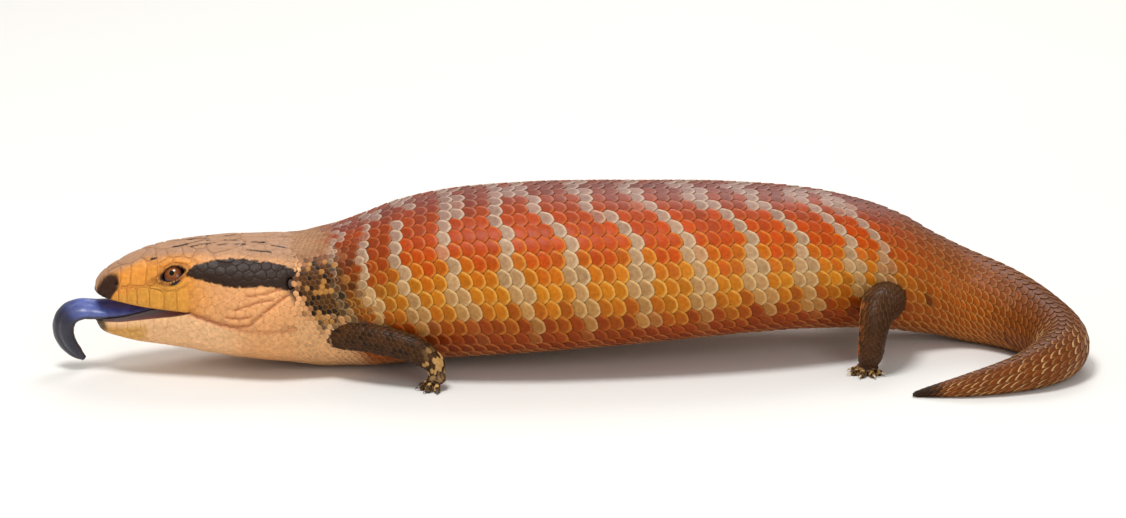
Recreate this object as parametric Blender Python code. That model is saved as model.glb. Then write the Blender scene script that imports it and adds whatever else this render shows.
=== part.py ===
"""Centralian blue-tongued skink, life size, walking with its tongue out and its tail curled forward.

Metres, +Z up. The animal faces -X, its left side is towards -Y, and the floor is z = 0.
A place on the animal is given as along (distance down the spine from the snout), across (sideways,
positive to the animal's left) and height. The body is one smooth form that is parted by thin gaps.
"""

import math

import bmesh
import bpy
import numpy as np
from mathutils import Vector

MM = 0.001
GAP = 0.3 * MM
SHORTEST_EDGE = 0.01 * MM

# The spine seen from above, from the snout to the tail tip. The tail curls round towards the left.
FOOTPRINT_CENTRE = (2.64 * MM, 7.65 * MM)
SPINE_PLAN_MM = (
    (-154.6, -20.0), (-120.0, -15.6), (-80.0, -10.4), (-40.0, -5.3), (0.0, -0.1), (40.0, 5.1),
    (80.0, 10.2), (108.0, 14.0), (127.0, 15.5), (140.0, 13.0), (151.0, 5.5), (159.5, -5.0),
    (164.5, -17.0), (163.5, -29.0), (156.0, -39.0), (145.0, -45.5), (133.0, -49.5), (122.0, -51.0),
    (111.0, -51.5),
)

# Where the nodes meet, measured along the spine.
MOUTH_CORNER = 31.0 * MM
JAW_END = 50.0 * MM
HEAD_END = 66.0 * MM
NECK_END = 84.0 * MM
CHEST_END = 140.0 * MM
BELLY_END = 205.0 * MM
HIP_END = 276.0 * MM
TAIL_ROOT_END = 314.0 * MM
TAIL_BEND_END = 362.0 * MM

# The body's sections: along, half width, height of the back, of the widest line and of the belly.
BODY_MM = (
    (31.0, 17.9, 42.7, 22.9, 6.9), (36.8, 19.3, 43.2, 20.9, 5.6), (42.2, 20.9, 43.4, 19.4, 4.8),
    (48.0, 22.3, 43.5, 18.6, 3.9), (55.0, 23.6, 43.5, 18.4, 2.9), (62.0, 24.2, 43.3, 18.6, 2.0),
    (68.0, 24.0, 43.4, 19.0, 1.0), (75.0, 23.8, 44.9, 19.4, -0.2), (81.5, 24.6, 46.4, 19.8, -0.3),
    (91.4, 27.4, 49.6, 21.0, -0.2), (101.4, 30.6, 53.0, 22.2, 1.0), (114.7, 34.2, 55.5, 23.4, 2.6),
    (128.0, 36.6, 56.7, 24.0, 3.3), (148.0, 38.6, 57.2, 24.4, 4.3), (168.0, 39.0, 56.9, 24.6, 5.4),
    (185.0, 38.6, 56.3, 25.0, 6.3), (202.0, 37.4, 55.8, 25.4, 7.2), (215.4, 35.8, 55.0, 25.8, 7.7),
    (229.0, 33.2, 53.9, 25.8, 7.8), (242.7, 29.8, 52.0, 25.4, 7.2), (256.4, 25.8, 48.6, 24.6, 6.2),
    (271.9, 20.6, 42.6, 21.6, 3.6), (282.3, 17.6, 36.2, 18.4, 2.0), (295.6, 15.2, 29.6, 14.6, -0.3),
    (309.0, 13.4, 25.6, 12.4, -0.4), (322.0, 11.6, 21.8, 10.6, -0.4), (336.0, 9.9, 18.6, 9.1, -0.4),
    (348.0, 8.7, 16.6, 8.1, -0.3), (360.6, 7.5, 14.4, 7.1, -0.3), (373.0, 5.8, 11.1, 5.5, -0.3),
    (386.0, 4.2, 8.1, 4.0, -0.2), (397.0, 2.6, 5.0, 2.5, -0.1), (404.0, 1.4, 2.8, 1.4, 0.0),
    (408.3, 0.25, 0.9, 0.5, 0.1),
)

# The upper jaw in front of the corner of the mouth: along, half width, height of the top and of the lip.
SNOUT_MM = (
    (0.0, 0.4, 28.4, 27.6), (0.6, 3.6, 30.4, 27.2), (1.6, 5.4, 32.0, 26.7), (3.4, 7.2, 33.8, 26.2),
    (8.0, 9.8, 36.6, 25.4), (14.3, 12.3, 39.5, 24.4), (20.8, 14.7, 41.3, 23.8), (25.6, 16.2, 42.1, 23.5),
    (31.0, 17.9, 42.7, 22.9),
)

# The lower jaw in front of the corner: along, half width, height of the lip and of the chin.
CHIN_MM = (
    (0.2, 0.4, 17.2, 16.4), (0.8, 2.8, 17.3, 14.9), (1.8, 4.6, 17.5, 13.7), (3.6, 6.5, 17.8, 12.6),
    (8.0, 9.2, 18.3, 11.2), (14.3, 11.8, 19.5, 9.6), (20.8, 14.3, 20.7, 8.6), (25.6, 15.9, 21.5, 7.8),
    (31.0, 17.9, 22.9, 6.9),
)

# How square the sections are: along, above the widest line and below it. 2 is an ellipse.
SQUARENESS_MM = (
    (0.0, 2.3, 2.2), (20.0, 2.6, 2.3), (60.0, 2.5, 2.3), (100.0, 2.2, 2.3), (130.0, 2.15, 2.3),
    (230.0, 2.1, 2.2), (300.0, 2.05, 2.1), (408.3, 2.0, 2.0),
)

# Swellings and hollows of the head: along, height, reach and how far they stand out.
HEAD_FORMS_MM = (
    ("brow", 26.0, 39.6, 5.0, 0.9), ("orbit", 25.6, 35.4, 5.5, -0.7), ("lore", 14.0, 32.5, 5.0, -0.6),
    ("jowl", 55.0, 21.0, 11.0, 1.4), ("temple", 42.0, 33.0, 9.0, 0.5),
)

EYE_ALONG, EYE_HEIGHT, EYE_RADIUS, EYE_PROUD = 25.2 * MM, 34.8 * MM, 4.3 * MM, 0.9 * MM
LID_LENGTH, LID_TALL, LID_THICK = 8.6 * MM, 7.0 * MM, 0.75 * MM
NOSTRIL_ALONG, NOSTRIL_HEIGHT = 6.8 * MM, 31.6 * MM
EAR_ALONG, EAR_HEIGHT, EAR_TALL, EAR_WIDE = 63.4 * MM, 32.6 * MM, 2.6 * MM, 1.5 * MM

# The head's shields, as outlines of (along, around): around is measured over the head from the middle of its
# top, in mm. Those named in MIDDLE_SHIELDS lie across the middle and give their left half only.
SHIELD_RISE, SHIELD_SEAM, SHIELD_ROOT = 0.35 * MM, 0.22 * MM, 0.9 * MM
MIDDLE_SHIELDS_MM = {
    "rostral": ((0.6, 0.0), (0.8, 3.4), (2.8, 5.2), (4.0, 2.8), (4.2, 0.0)),
    "frontonasal": ((7.4, 0.0), (8.6, 3.4), (12.0, 5.6), (15.2, 4.6), (17.0, 1.6), (17.2, 0.0)),
    "frontal": ((19.8, 0.0), (20.4, 2.2), (23.0, 3.8), (29.5, 3.2), (32.6, 1.2), (33.0, 0.0)),
    "interparietal": ((37.0, 0.0), (38.2, 2.6), (41.0, 2.8), (47.6, 1.0), (48.4, 0.0)),
}
SIDE_SHIELDS_MM = {
    "nasal": ((3.0, 5.4), (4.4, 3.0), (8.2, 3.6), (8.4, 8.0), (7.8, 11.6), (5.4, 10.8)),
    "supranasal": ((4.4, 0.3), (4.2, 2.8), (8.2, 3.4), (7.4, 0.3)),
    "postnasal": ((8.7, 5.0), (11.6, 6.2), (11.6, 10.4), (11.4, 13.4), (8.2, 11.8), (8.8, 8.0)),
    "loreal": ((12.0, 6.0), (15.4, 6.4), (17.0, 9.0), (16.4, 13.6), (16.4, 16.4), (11.8, 13.6)),
    "preocular": ((16.8, 13.8), (17.4, 9.6), (20.0, 11.6), (20.4, 15.0), (19.2, 17.6), (16.8, 16.6)),
    "prefrontal": ((15.6, 5.0), (17.4, 1.8), (19.6, 0.3), (20.2, 2.4), (19.6, 7.6), (17.2, 8.2), (15.8, 6.2)),
    "supraocular_front": ((20.0, 7.4), (20.6, 2.8), (23.0, 4.2), (23.8, 9.6), (21.2, 11.0)),
    "supraocular_middle": ((23.4, 4.2), (28.0, 3.8), (28.6, 10.4), (24.2, 9.8)),
    "supraocular_rear": ((28.4, 3.8), (30.0, 3.6), (33.6, 7.6), (31.6, 12.0), (29.0, 10.6)),
    "frontoparietal": ((30.2, 3.4), (32.8, 1.4), (36.8, 0.3), (37.8, 2.8), (36.0, 7.4), (33.8, 7.4)),
    "parietal": ((38.2, 3.0), (41.0, 3.2), (47.8, 1.2), (49.6, 5.6), (46.0, 9.2), (38.4, 10.6), (36.4, 7.8)),
    "temporal_upper": ((34.0, 8.0), (36.0, 8.0), (38.2, 11.0), (39.4, 14.6), (34.4, 15.0), (32.2, 12.2)),
    "temporal_middle": ((38.8, 11.0), (46.0, 9.6), (48.0, 14.0), (44.0, 16.4), (39.8, 14.8)),
    "nuchal": ((48.8, 0.3), (48.2, 1.2), (50.0, 5.8), (55.4, 6.0), (55.6, 0.3)),
    "subocular": ((19.8, 18.2), (21.4, 20.2), (27.0, 20.8), (31.4, 19.4), (31.0, 17.8), (26.0, 19.6)),
}
LIP_SEAMS_MM = (4.6, 7.4, 10.2, 13.5, 17.5, 22.5, 26.4, 30.4)
LIP_TOPS_MM = (10.4, 12.0, 13.8, 15.6, 17.8, 21.0, 21.8, 21.6)
JAW_SEAMS_MM = (3.4, 6.6, 10.2, 14.4, 18.8, 23.2, 27.4)
JAW_LIP_TALL = 3.0 * MM

SKIN_COLOURS = {
    "head": (0.62, 0.47, 0.30), "jaw": (0.74, 0.58, 0.38), "body": (0.55, 0.27, 0.12),
    "tail": (0.26, 0.14, 0.07), "leg": (0.05, 0.035, 0.03), "tongue": (0.10, 0.13, 0.42),
    "eye": (0.30, 0.12, 0.05), "eardrum": (0.10, 0.07, 0.05), "foot": (0.22, 0.16, 0.10),
}


def smooth(table, column, at):
    """Reads one column of a table at the places `at`, on a monotone cubic through its rows."""
    rows = np.asarray(table, float)
    x, y = rows[:, 0] * MM, rows[:, column]
    step, slope = np.diff(x), np.diff(y) / np.diff(x)
    bend = np.zeros(len(x))
    turn = slope[1:] * slope[:-1] > 0
    left, right = 2 * step[1:] + step[:-1], step[1:] + 2 * step[:-1]
    with np.errstate(divide="ignore", invalid="ignore"):
        mean = (left + right) / (left / slope[:-1] + right / slope[1:])
    bend[1:-1] = np.where(turn, mean, 0.0)
    bend[0], bend[-1] = slope[0], slope[-1]
    at = np.clip(at, x[0], x[-1])
    i = np.clip(np.searchsorted(x, at) - 1, 0, len(x) - 2)
    t = (at - x[i]) / step[i]
    a, b = y[i], y[i + 1]
    da, db = bend[i] * step[i], bend[i + 1] * step[i]
    return a + t * (da + t * (3 * (b - a) - 2 * da - db + t * (2 * (a - b) + da + db)))


def spine_line():
    """Dense points along the spine and their distances from the snout."""
    points = np.asarray(SPINE_PLAN_MM) * MM - np.asarray(FOOTPRINT_CENTRE)
    ends = np.vstack([2 * points[0] - points[1], points, 2 * points[-1] - points[-2]])
    line = []
    for a, b, c, d in zip(ends, ends[1:], ends[2:], ends[3:]):
        for t in np.arange(0.0, 1.0, 0.05):
            line.append(0.5 * (2 * b + (c - a) * t + (2 * a - 5 * b + 4 * c - d) * t**2
                               + (3 * b - a - 3 * c + d) * t**3))
    line = np.array(line + [points[-1]])
    lengths = np.concatenate([[0.0], np.cumsum(np.linalg.norm(np.diff(line, axis=0), axis=1))])
    return line, lengths


SPINE, SPINE_LENGTHS = spine_line()


def spine_at(along):
    """The point of the spine seen from above, and the directions backwards and to the left."""
    along = np.asarray(along, float)
    inside = np.clip(along, 0.0, SPINE_LENGTHS[-1])
    reach = 1.5 * MM
    ahead = np.minimum(inside + reach, SPINE_LENGTHS[-1])
    behind = np.maximum(inside - reach, 0.0)
    read = lambda at: np.stack([np.interp(at, SPINE_LENGTHS, SPINE[:, k]) for k in (0, 1)], -1)
    back = read(ahead) - read(behind)
    back /= np.linalg.norm(back, axis=-1, keepdims=True)
    left = np.stack([back[..., 1], -back[..., 0]], -1)
    return read(inside) + back * (along - inside)[..., None], back, left


def place(along, across, height):
    """World points from places on the animal."""
    along, across, height = np.broadcast_arrays(*(np.asarray(v, float) for v in (along, across, height)))
    point, _, left = spine_at(along)
    return np.concatenate([point + left * across[..., None], height[..., None]], -1)


def rounded(table, column, base, at):
    """The distance from the widest line to a table's edge, whose square runs smoothly, so that ends are round."""
    rows = np.asarray(table, float)
    gaps = np.column_stack([rows[:, 0], (rows[:, column] - (rows[:, base] if base else 0)) ** 2])
    return np.sqrt(np.maximum(smooth(gaps, 1, at), 0.0)) * MM


def sizes(along):
    """Half width, rise, drop, upper edge and lower edge of the widest line, at places along the spine."""
    front = along < MOUTH_CORNER
    half = rounded(BODY_MM, 1, 0, along)
    rise, drop = rounded(BODY_MM, 2, 3, along), rounded(BODY_MM, 3, 4, along)
    upper = lower = smooth(BODY_MM, 3, along) * MM
    rise = np.where(front, rounded(SNOUT_MM, 2, 3, along), rise)
    drop = np.where(front, rounded(CHIN_MM, 2, 3, along), drop)
    upper = np.where(front, smooth(SNOUT_MM, 3, along) * MM, upper)
    lower = np.where(front, smooth(CHIN_MM, 2, along) * MM, lower)
    half_up = np.where(front, rounded(SNOUT_MM, 1, 0, along), half)
    half_low = np.where(front, rounded(CHIN_MM, 1, 0, along), half)
    return half_up, half_low, rise, drop, upper, lower


def surface(along, turn, grow=0.0):
    """Points on the body's surface. turn goes from the left side (0) over the back to the right side (pi) and
    on under the belly. grow moves the surface outwards. Nothing reaches below the floor."""
    along, turn = np.broadcast_arrays(np.asarray(along, float), np.asarray(turn, float))
    half_up, half_low, rise, drop, upper, lower = sizes(along)
    over = np.sin(turn) >= 0
    square = np.where(over, smooth(SQUARENESS_MM, 1, along), smooth(SQUARENESS_MM, 2, along))
    c, s = np.cos(turn), np.sin(turn)
    side = np.sign(c) * np.abs(c) ** (2 / square)
    lift = np.sign(s) * np.abs(s) ** (2 / square)
    across = (np.where(over, half_up, half_low) + grow) * side
    height = np.where(over, upper + (rise + grow) * lift, lower + (drop + grow) * lift)
    bulge = np.zeros_like(height)
    for _, at, level, reach, out in HEAD_FORMS_MM:
        away = ((along / MM - at) ** 2 + (height / MM - level) ** 2) / reach**2
        bulge += out * MM * np.exp(-away) * np.abs(side)
    across = across + bulge * np.sign(side)
    return place(along, across, np.maximum(height, 0.0))


def side_of_head(along, height, left, out=0.0):
    """A point on the side of the head at a height, and how far it is from the spine."""
    turns = np.linspace(0.0, math.pi / 2, 400)
    points = surface(np.full(400, along), turns, out)
    nearest = points[np.argmin(np.abs(points[:, 2] - height))]
    centre = place(along, 0.0, height)
    across = np.linalg.norm(nearest[:2] - centre[:2])
    return place(along, across if left else -across, height), across


def new_object(name, mesh, material=None):
    node = bpy.data.objects.new(name, mesh)
    bpy.context.scene.collection.objects.link(node)
    if material:
        node.data.materials.clear()
        node.data.materials.append(material)
    return node


def make_materials():
    made = {}
    for name, colour in SKIN_COLOURS.items():
        material = bpy.data.materials.new(name)
        material.use_nodes = True
        shader = material.node_tree.nodes["Principled BSDF"]
        shader.inputs["Base Color"].default_value = (*colour, 1.0)
        shader.inputs["Roughness"].default_value = 0.15 if name == "eye" else 0.45
        made[name] = material
    return made


def loft(name, rings, material=None):
    """A closed mesh through rings of equally many points, with a flat cap at each end."""
    rings = np.asarray(rings)
    count, sides = rings.shape[:2]
    shape = bmesh.new()
    rows = [[shape.verts.new(p) for p in ring] for ring in rings]
    for a, b in zip(rows, rows[1:]):
        for i in range(sides):
            j = (i + 1) % sides
            shape.faces.new((a[i], a[j], b[j], b[i]))
    shape.faces.new(rows[0][::-1])
    shape.faces.new(rows[-1])
    bmesh.ops.recalc_face_normals(shape, faces=shape.faces)
    mesh = bpy.data.meshes.new(name)
    shape.to_mesh(mesh)
    shape.free()
    mesh.shade_smooth()
    return new_object(name, mesh, material)


def body_length(name, start, end, spacing, sides, material, grow=0.0):
    """One length of the neck, trunk or tail, a loft of whole sections between two gaps."""
    count = max(2, round((end - start) / spacing) + 1)
    alongs = np.linspace(start, end, count)
    turns = np.linspace(0.0, 2 * math.pi, sides, endpoint=False)
    return loft(name, [surface(a, turns, grow) for a in alongs], material)


def jaw_places(end):
    """Places along a jaw, close together at its tip, where it is round."""
    near = np.array([0.0, 0.6, 1.6, 3.2, 5.5]) * MM
    rest = np.arange(8.5, end / MM - 1.0, 3.0) * MM
    return np.concatenate([near, rest, [end]])


def head_node(material, arc=22, floor=8):
    """The cranium and upper jaw. In front of the jaw's end its underside is the palate, and behind it the whole
    section closes under the throat."""
    over = np.linspace(0.0, math.pi, arc)
    under = np.linspace(math.pi, 2 * math.pi, floor + 2)[1:-1]
    rings = []
    for along in jaw_places(JAW_END + GAP / 2):
        top = surface(along, over)
        half, _, rise, _, lip, _ = (v.item() for v in sizes(np.array(along)))
        lip += GAP / 2 if along >= MOUTH_CORNER else 0.0
        top[:, 2] = np.maximum(top[:, 2], lip)
        vault = min(2.2 * MM, 0.35 * rise) if along < MOUTH_CORNER else 0.0
        spread = np.cos(under)
        inward = np.clip((1 - np.abs(spread)) / 0.25, 0.0, 1.0)
        palate = place(along, spread * half * 0.96, lip + vault * inward)
        rings.append(np.vstack([top, palate]))
    wall = JAW_END + GAP
    for along in np.linspace(wall, HEAD_END - GAP / 2, 6):
        rings.append(np.vstack([surface(along, over), surface(along, under)]))
    return loft("head", rings, material)


def jaw_node(material, arc=16, floor=8):
    """The lower jaw: a trough whose flat top is the floor of the mouth."""
    under = np.linspace(math.pi, 2 * math.pi, arc)
    over = np.linspace(2 * math.pi, 3 * math.pi, floor + 2)[1:-1]
    rings = []
    for along in jaw_places(JAW_END - GAP / 2):
        bottom = surface(along, under)
        _, half, _, _, _, lip = (v.item() for v in sizes(np.array(along)))
        lip -= GAP / 2 if along >= MOUTH_CORNER else 0.0
        bottom[:, 2] = np.minimum(bottom[:, 2], lip)
        dish = min(1.2 * MM, 0.16 * along) if along < MOUTH_CORNER else 0.0
        spread = np.cos(over)
        inward = np.clip((1 - np.abs(spread)) / 0.25, 0.0, 1.0)
        top = place(along, spread * half * 0.96, lip - dish * inward)
        rings.append(np.vstack([bottom, top]))
    return loft("lower_jaw", rings, material)


def tube_rings(path, widths, depths, sides, side_hint, rolls=None):
    """Rings along a path of points. widths and depths are half sizes to the side and square to it. The side
    starts as near to side_hint as it can, follows the path's bends, and each ring may be rolled by degrees."""
    path = [Vector(p) for p in path]
    rings = []
    side = Vector(side_hint)
    for i, point in enumerate(path):
        tangent = (path[min(i + 1, len(path) - 1)] - path[max(i - 1, 0)]).normalized()
        side = (side - tangent * tangent.dot(side)).normalized()
        normal = tangent.cross(side)
        roll = math.radians(rolls[i]) if rolls is not None else 0.0
        wide = side * math.cos(roll) - normal * math.sin(roll)
        deep = normal * math.cos(roll) + side * math.sin(roll)
        turns = [2 * math.pi * k / sides for k in range(sides)]
        rings.append([point + wide * (widths[i] * math.cos(v)) + deep * (depths[i] * math.sin(v)) for v in turns])
    return rings


def smooth_path(points, values, steps):
    """A Catmull-Rom line through points, with values read along it."""
    rows = np.hstack([np.asarray(points, float), np.asarray(values, float).reshape(len(points), -1)])
    rows = np.vstack([2 * rows[0] - rows[1], rows, 2 * rows[-1] - rows[-2]])
    line = []
    for a, b, c, d in zip(rows, rows[1:], rows[2:], rows[3:]):
        for t in np.arange(steps) / steps:
            line.append(0.5 * (2 * b + (c - a) * t + (2 * a - 5 * b + 4 * c - d) * t**2
                               + (3 * b - a - 3 * c + d) * t**3))
    line.append(rows[-2])
    line = np.array(line)
    return line[:, :3], line[:, 3:]


def apply_boolean(node, other, operation):
    """Joins or cuts node with an object or a collection's objects, which are then removed."""
    modifier = node.modifiers.new(operation.title(), "BOOLEAN")
    modifier.operation = operation
    modifier.solver = "EXACT"
    pieces = list(other.objects) if isinstance(other, bpy.types.Collection) else [other]
    if isinstance(other, bpy.types.Collection):
        modifier.operand_type = "COLLECTION"
        modifier.collection = other
    else:
        modifier.object = other
    graph = bpy.context.evaluated_depsgraph_get()
    mesh = bpy.data.meshes.new_from_object(node.evaluated_get(graph))
    node.modifiers.clear()
    node.data = mesh
    for piece in pieces:
        bpy.data.objects.remove(piece)
    if isinstance(other, bpy.types.Collection):
        bpy.data.collections.remove(other)
    keep_largest(node)


def keep_largest(node):
    """Keeps a node's largest closed surface, without the slivers that a Boolean leaves."""
    shape = bmesh.new()
    shape.from_mesh(node.data)
    left = set(shape.verts)
    groups = []
    while left:
        group, front = set(), [left.pop()]
        while front:
            vert = front.pop()
            group.add(vert)
            for edge in vert.link_edges:
                other = edge.other_vert(vert)
                if other in left:
                    left.discard(other)
                    front.append(other)
        groups.append(group)
    biggest = max(groups, key=len)
    bmesh.ops.delete(shape, geom=[v for v in shape.verts if v not in biggest], context="VERTS")
    bmesh.ops.remove_doubles(shape, verts=shape.verts, dist=SHORTEST_EDGE)
    bmesh.ops.dissolve_degenerate(shape, edges=shape.edges, dist=SHORTEST_EDGE)
    bmesh.ops.delete(shape, geom=[e for e in shape.edges if not e.link_faces], context="EDGES")
    shape.to_mesh(node.data)
    shape.free()


def gather(name, pieces):
    """Puts pieces into a collection of their own, for one Boolean."""
    group = bpy.data.collections.new(name)
    bpy.context.scene.collection.children.link(group)
    for piece in pieces:
        bpy.context.scene.collection.objects.unlink(piece)
        group.objects.link(piece)
    return group


def ball(name, centre, radii, rings=10, segments=16, axes=None):
    """An ellipsoid with half sizes radii along axes, three directions in world space."""
    axes = axes if axes is not None else np.eye(3)
    shape = bmesh.new()
    bmesh.ops.create_uvsphere(shape, u_segments=segments, v_segments=rings, radius=1.0)
    for vert in shape.verts:
        spot = np.asarray(centre) + sum(vert.co[k] * radii[k] * np.asarray(axes[k]) for k in range(3))
        vert.co = spot
    if np.linalg.det(np.asarray(axes)) < 0:
        bmesh.ops.reverse_faces(shape, faces=shape.faces)
    mesh = bpy.data.meshes.new(name)
    shape.to_mesh(mesh)
    shape.free()
    mesh.shade_smooth()
    return new_object(name, mesh)


def floor_block():
    """A block below the floor, which cuts the soles flat."""
    bpy.ops.mesh.primitive_cube_add(size=0.6, location=(0.0, 0.0, -0.3))
    return bpy.context.object


def head_axes(along, left):
    """Backwards, upwards and outwards at a place on the head, as three directions."""
    _, back, side = spine_at(along)
    out = np.array([*side, 0.0]) * (1.0 if left else -1.0)
    return np.array([[*back, 0.0], [0.0, 0.0, 1.0], out])


def eye_centre(left):
    """The middle of the eyeball, which looks out square to the side of the head and stands a little proud."""
    spots = [side_of_head(EYE_ALONG + a, EYE_HEIGHT + h, left)[0] for a, h in ((-MM, 0), (MM, 0), (0, -MM), (0, MM))]
    outward = np.cross(spots[1] - spots[0], spots[3] - spots[2])
    outward *= np.sign(outward @ head_axes(EYE_ALONG, left)[2]) / np.linalg.norm(outward)
    return side_of_head(EYE_ALONG, EYE_HEIGHT, left)[0] - outward * (EYE_RADIUS - EYE_PROUD)


def around_head(along):
    """Turns from the middle of the top to the left lip at a place along the head, and the way round to each."""
    turns = np.linspace(math.pi / 2, 0.0, 120)
    points = surface(np.full(len(turns), along), turns)
    steps = np.linalg.norm(np.diff(points, axis=0), axis=1)
    return turns, np.concatenate([[0.0], np.cumsum(steps)])


def head_frame(along, turn):
    """A point of the head's surface and the direction straight out of it."""
    step = 0.3 * MM
    a, b = surface(along - step, turn), surface(along + step, turn)
    c, d = surface(along, turn - 0.03), surface(along, turn + 0.03)
    out = np.cross(b - a, d - c)
    point = surface(along, turn)
    inside = place(along, 0.0, point[2] - 2 * MM)
    return point, out * np.sign(out @ (point - inside)) / np.linalg.norm(out)


def plate(name, corners, left, root_depth=SHIELD_ROOT):
    """One raised shield from corners given as (along, turn) on the left side: its rim stands a seam's width
    inside them, its middle follows the head, and its root is sunk well below the surface."""
    corners = np.array(corners)
    middle = corners.mean(0)
    if not left:
        corners = corners * (1, -1) + (0, math.pi)
        middle = middle * (1, -1) + (0, math.pi)
    centre, out = head_frame(*middle)
    shape = bmesh.new()
    rows = [[], [], []]
    for corner in corners:
        point, way = head_frame(*corner)
        inward = centre - point
        inward = inward / np.linalg.norm(inward) * SHIELD_SEAM
        rows[0].append(shape.verts.new(point + inward * 2.2 + way * SHIELD_RISE))
        rows[1].append(shape.verts.new(point + inward + way * SHIELD_RISE * 0.3))
        rows[2].append(shape.verts.new(point + inward * 2 - way * root_depth))
    top = shape.verts.new(centre + out * SHIELD_RISE * 1.15)
    root = shape.verts.new(centre - out * root_depth)
    for i in range(len(corners)):
        j = (i + 1) % len(corners)
        shape.faces.new((top, rows[0][i], rows[0][j]))
        shape.faces.new((rows[0][i], rows[1][i], rows[1][j], rows[0][j]))
        shape.faces.new((rows[1][i], rows[2][i], rows[2][j], rows[1][j]))
        shape.faces.new((rows[2][i], root, rows[2][j]))
    bmesh.ops.recalc_face_normals(shape, faces=shape.faces)
    bmesh.ops.triangulate(shape, faces=shape.faces)
    mesh = bpy.data.meshes.new(name)
    shape.to_mesh(mesh)
    shape.free()
    return new_object(name, mesh)


def shield_corners(outline):
    """Turns (along, around) corners in mm into (along, turn)."""
    corners = []
    for along, around in outline:
        turns, ways = around_head(along * MM)
        corners.append((along * MM, np.interp(around * MM, ways, turns)))
    return corners


def head_shields():
    """The plates on the top and sides of the head and along the upper lip."""
    plates = []
    for name, half in MIDDLE_SHIELDS_MM.items():
        corners = shield_corners(half)
        across = [(a, math.pi - t) for a, t in reversed(corners) if t < math.pi / 2 - 1e-6]
        plates.append(plate(name, corners + across, True))
    for left in (True, False):
        for name, outline in SIDE_SHIELDS_MM.items():
            plates.append(plate(name, shield_corners(outline), left))
        lips = [shield_corners([(a, t)])[0] for a, t in zip(LIP_SEAMS_MM, LIP_TOPS_MM)]
        for (a, top_a), (b, top_b) in zip(lips, lips[1:]):
            plates.append(plate("upper_lip", [(a, top_a), (b, top_b), (b, 0.06), (a, 0.06)], left))
    return plates


def jaw_shields():
    """The plates along the lower lip."""
    plates = []
    for left in (True, False):
        seams = []
        for seam in JAW_SEAMS_MM:
            along = seam * MM
            turns = np.linspace(0.0, -math.pi / 2, 120)
            points = surface(np.full(len(turns), along), turns)
            ways = np.concatenate([[0.0], np.cumsum(np.linalg.norm(np.diff(points, axis=0), axis=1))])
            seams.append((along, np.interp(JAW_LIP_TALL, ways, turns)))
        for (a, low_a), (b, low_b) in zip(seams, seams[1:]):
            plates.append(plate("lower_lip", [(a, -0.1), (b, -0.1), (b, low_b), (a, low_a)], left, 0.5 * MM))
    return plates


def lid_ring(left):
    """The rim of both lids: an almond-shaped roll round the eye's opening, tilted with the side of the head."""
    back, up, out = head_axes(EYE_ALONG, left)
    surface_point, _ = side_of_head(EYE_ALONG, EYE_HEIGHT, left)
    rings = []
    steps, sides = 16, 5
    for i in range(steps):
        turn = 2 * math.pi * i / steps
        reach = LID_LENGTH / 2 * math.cos(turn)
        lift = LID_TALL / 2 * math.sin(turn) * (1 - 0.25 * abs(math.cos(turn)) ** 3)
        spot = side_of_head(EYE_ALONG + reach, EYE_HEIGHT + lift, left)[0]
        around = back * math.cos(turn) * LID_TALL + up * math.sin(turn) * LID_LENGTH
        around /= np.linalg.norm(around)
        rings.append([spot + around * LID_THICK * math.cos(v) + out * LID_THICK * math.sin(v)
                      for v in np.linspace(0, 2 * math.pi, sides, endpoint=False)])
    shape = bmesh.new()
    rows = [[shape.verts.new(p) for p in ring] for ring in rings]
    for i in range(steps):
        a, b = rows[i], rows[(i + 1) % steps]
        for j in range(sides):
            k = (j + 1) % sides
            shape.faces.new((a[j], a[k], b[k], b[j]))
    bmesh.ops.recalc_face_normals(shape, faces=shape.faces)
    mesh = bpy.data.meshes.new("lid")
    shape.to_mesh(mesh)
    shape.free()
    return new_object("lid", mesh)


def finish_head(head):
    """Lids are joined to the head, and sockets, nostrils and ear openings are cut into it."""
    raised = head_shields() + [lid_ring(True), lid_ring(False)]
    apply_boolean(head, gather("raised", raised), "UNION")
    cutters = []
    for left in (True, False):
        axes = head_axes(EYE_ALONG, left)
        radius = EYE_RADIUS + GAP
        cutters.append(ball("socket", eye_centre(left), (radius, radius, radius), 12, 18, axes))
        spot, _ = side_of_head(NOSTRIL_ALONG, NOSTRIL_HEIGHT, left)
        cutters.append(ball("nostril", spot, (1.1 * MM, 0.8 * MM, 1.4 * MM), 6, 10,
                            head_axes(NOSTRIL_ALONG, left)))
        spot, _ = side_of_head(EAR_ALONG, EAR_HEIGHT, left)
        cutters.append(ball("ear_cup", spot, (EAR_WIDE, EAR_TALL, 2.6 * MM), 8, 14,
                            head_axes(EAR_ALONG, left)))
    apply_boolean(head, gather("cutters", cutters), "DIFFERENCE")


def eyes_and_eardrums(materials):
    for left, side in ((True, "left"), (False, "right")):
        axes = head_axes(EYE_ALONG, left)
        eye = ball(f"eye_{side}", eye_centre(left), (EYE_RADIUS,) * 3, 10, 16, axes)
        eye.data.materials.append(materials["eye"])
        spot, _ = side_of_head(EAR_ALONG, EAR_HEIGHT, left)
        back, up, out = head_axes(EAR_ALONG, left)
        drum = ball(f"eardrum_{side}", spot - out * 1.2 * MM,
                    (EAR_WIDE * 0.66, EAR_TALL * 0.66, 0.45 * MM), 6, 12, (back, up, out))
        drum.data.materials.append(materials["eardrum"])


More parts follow.
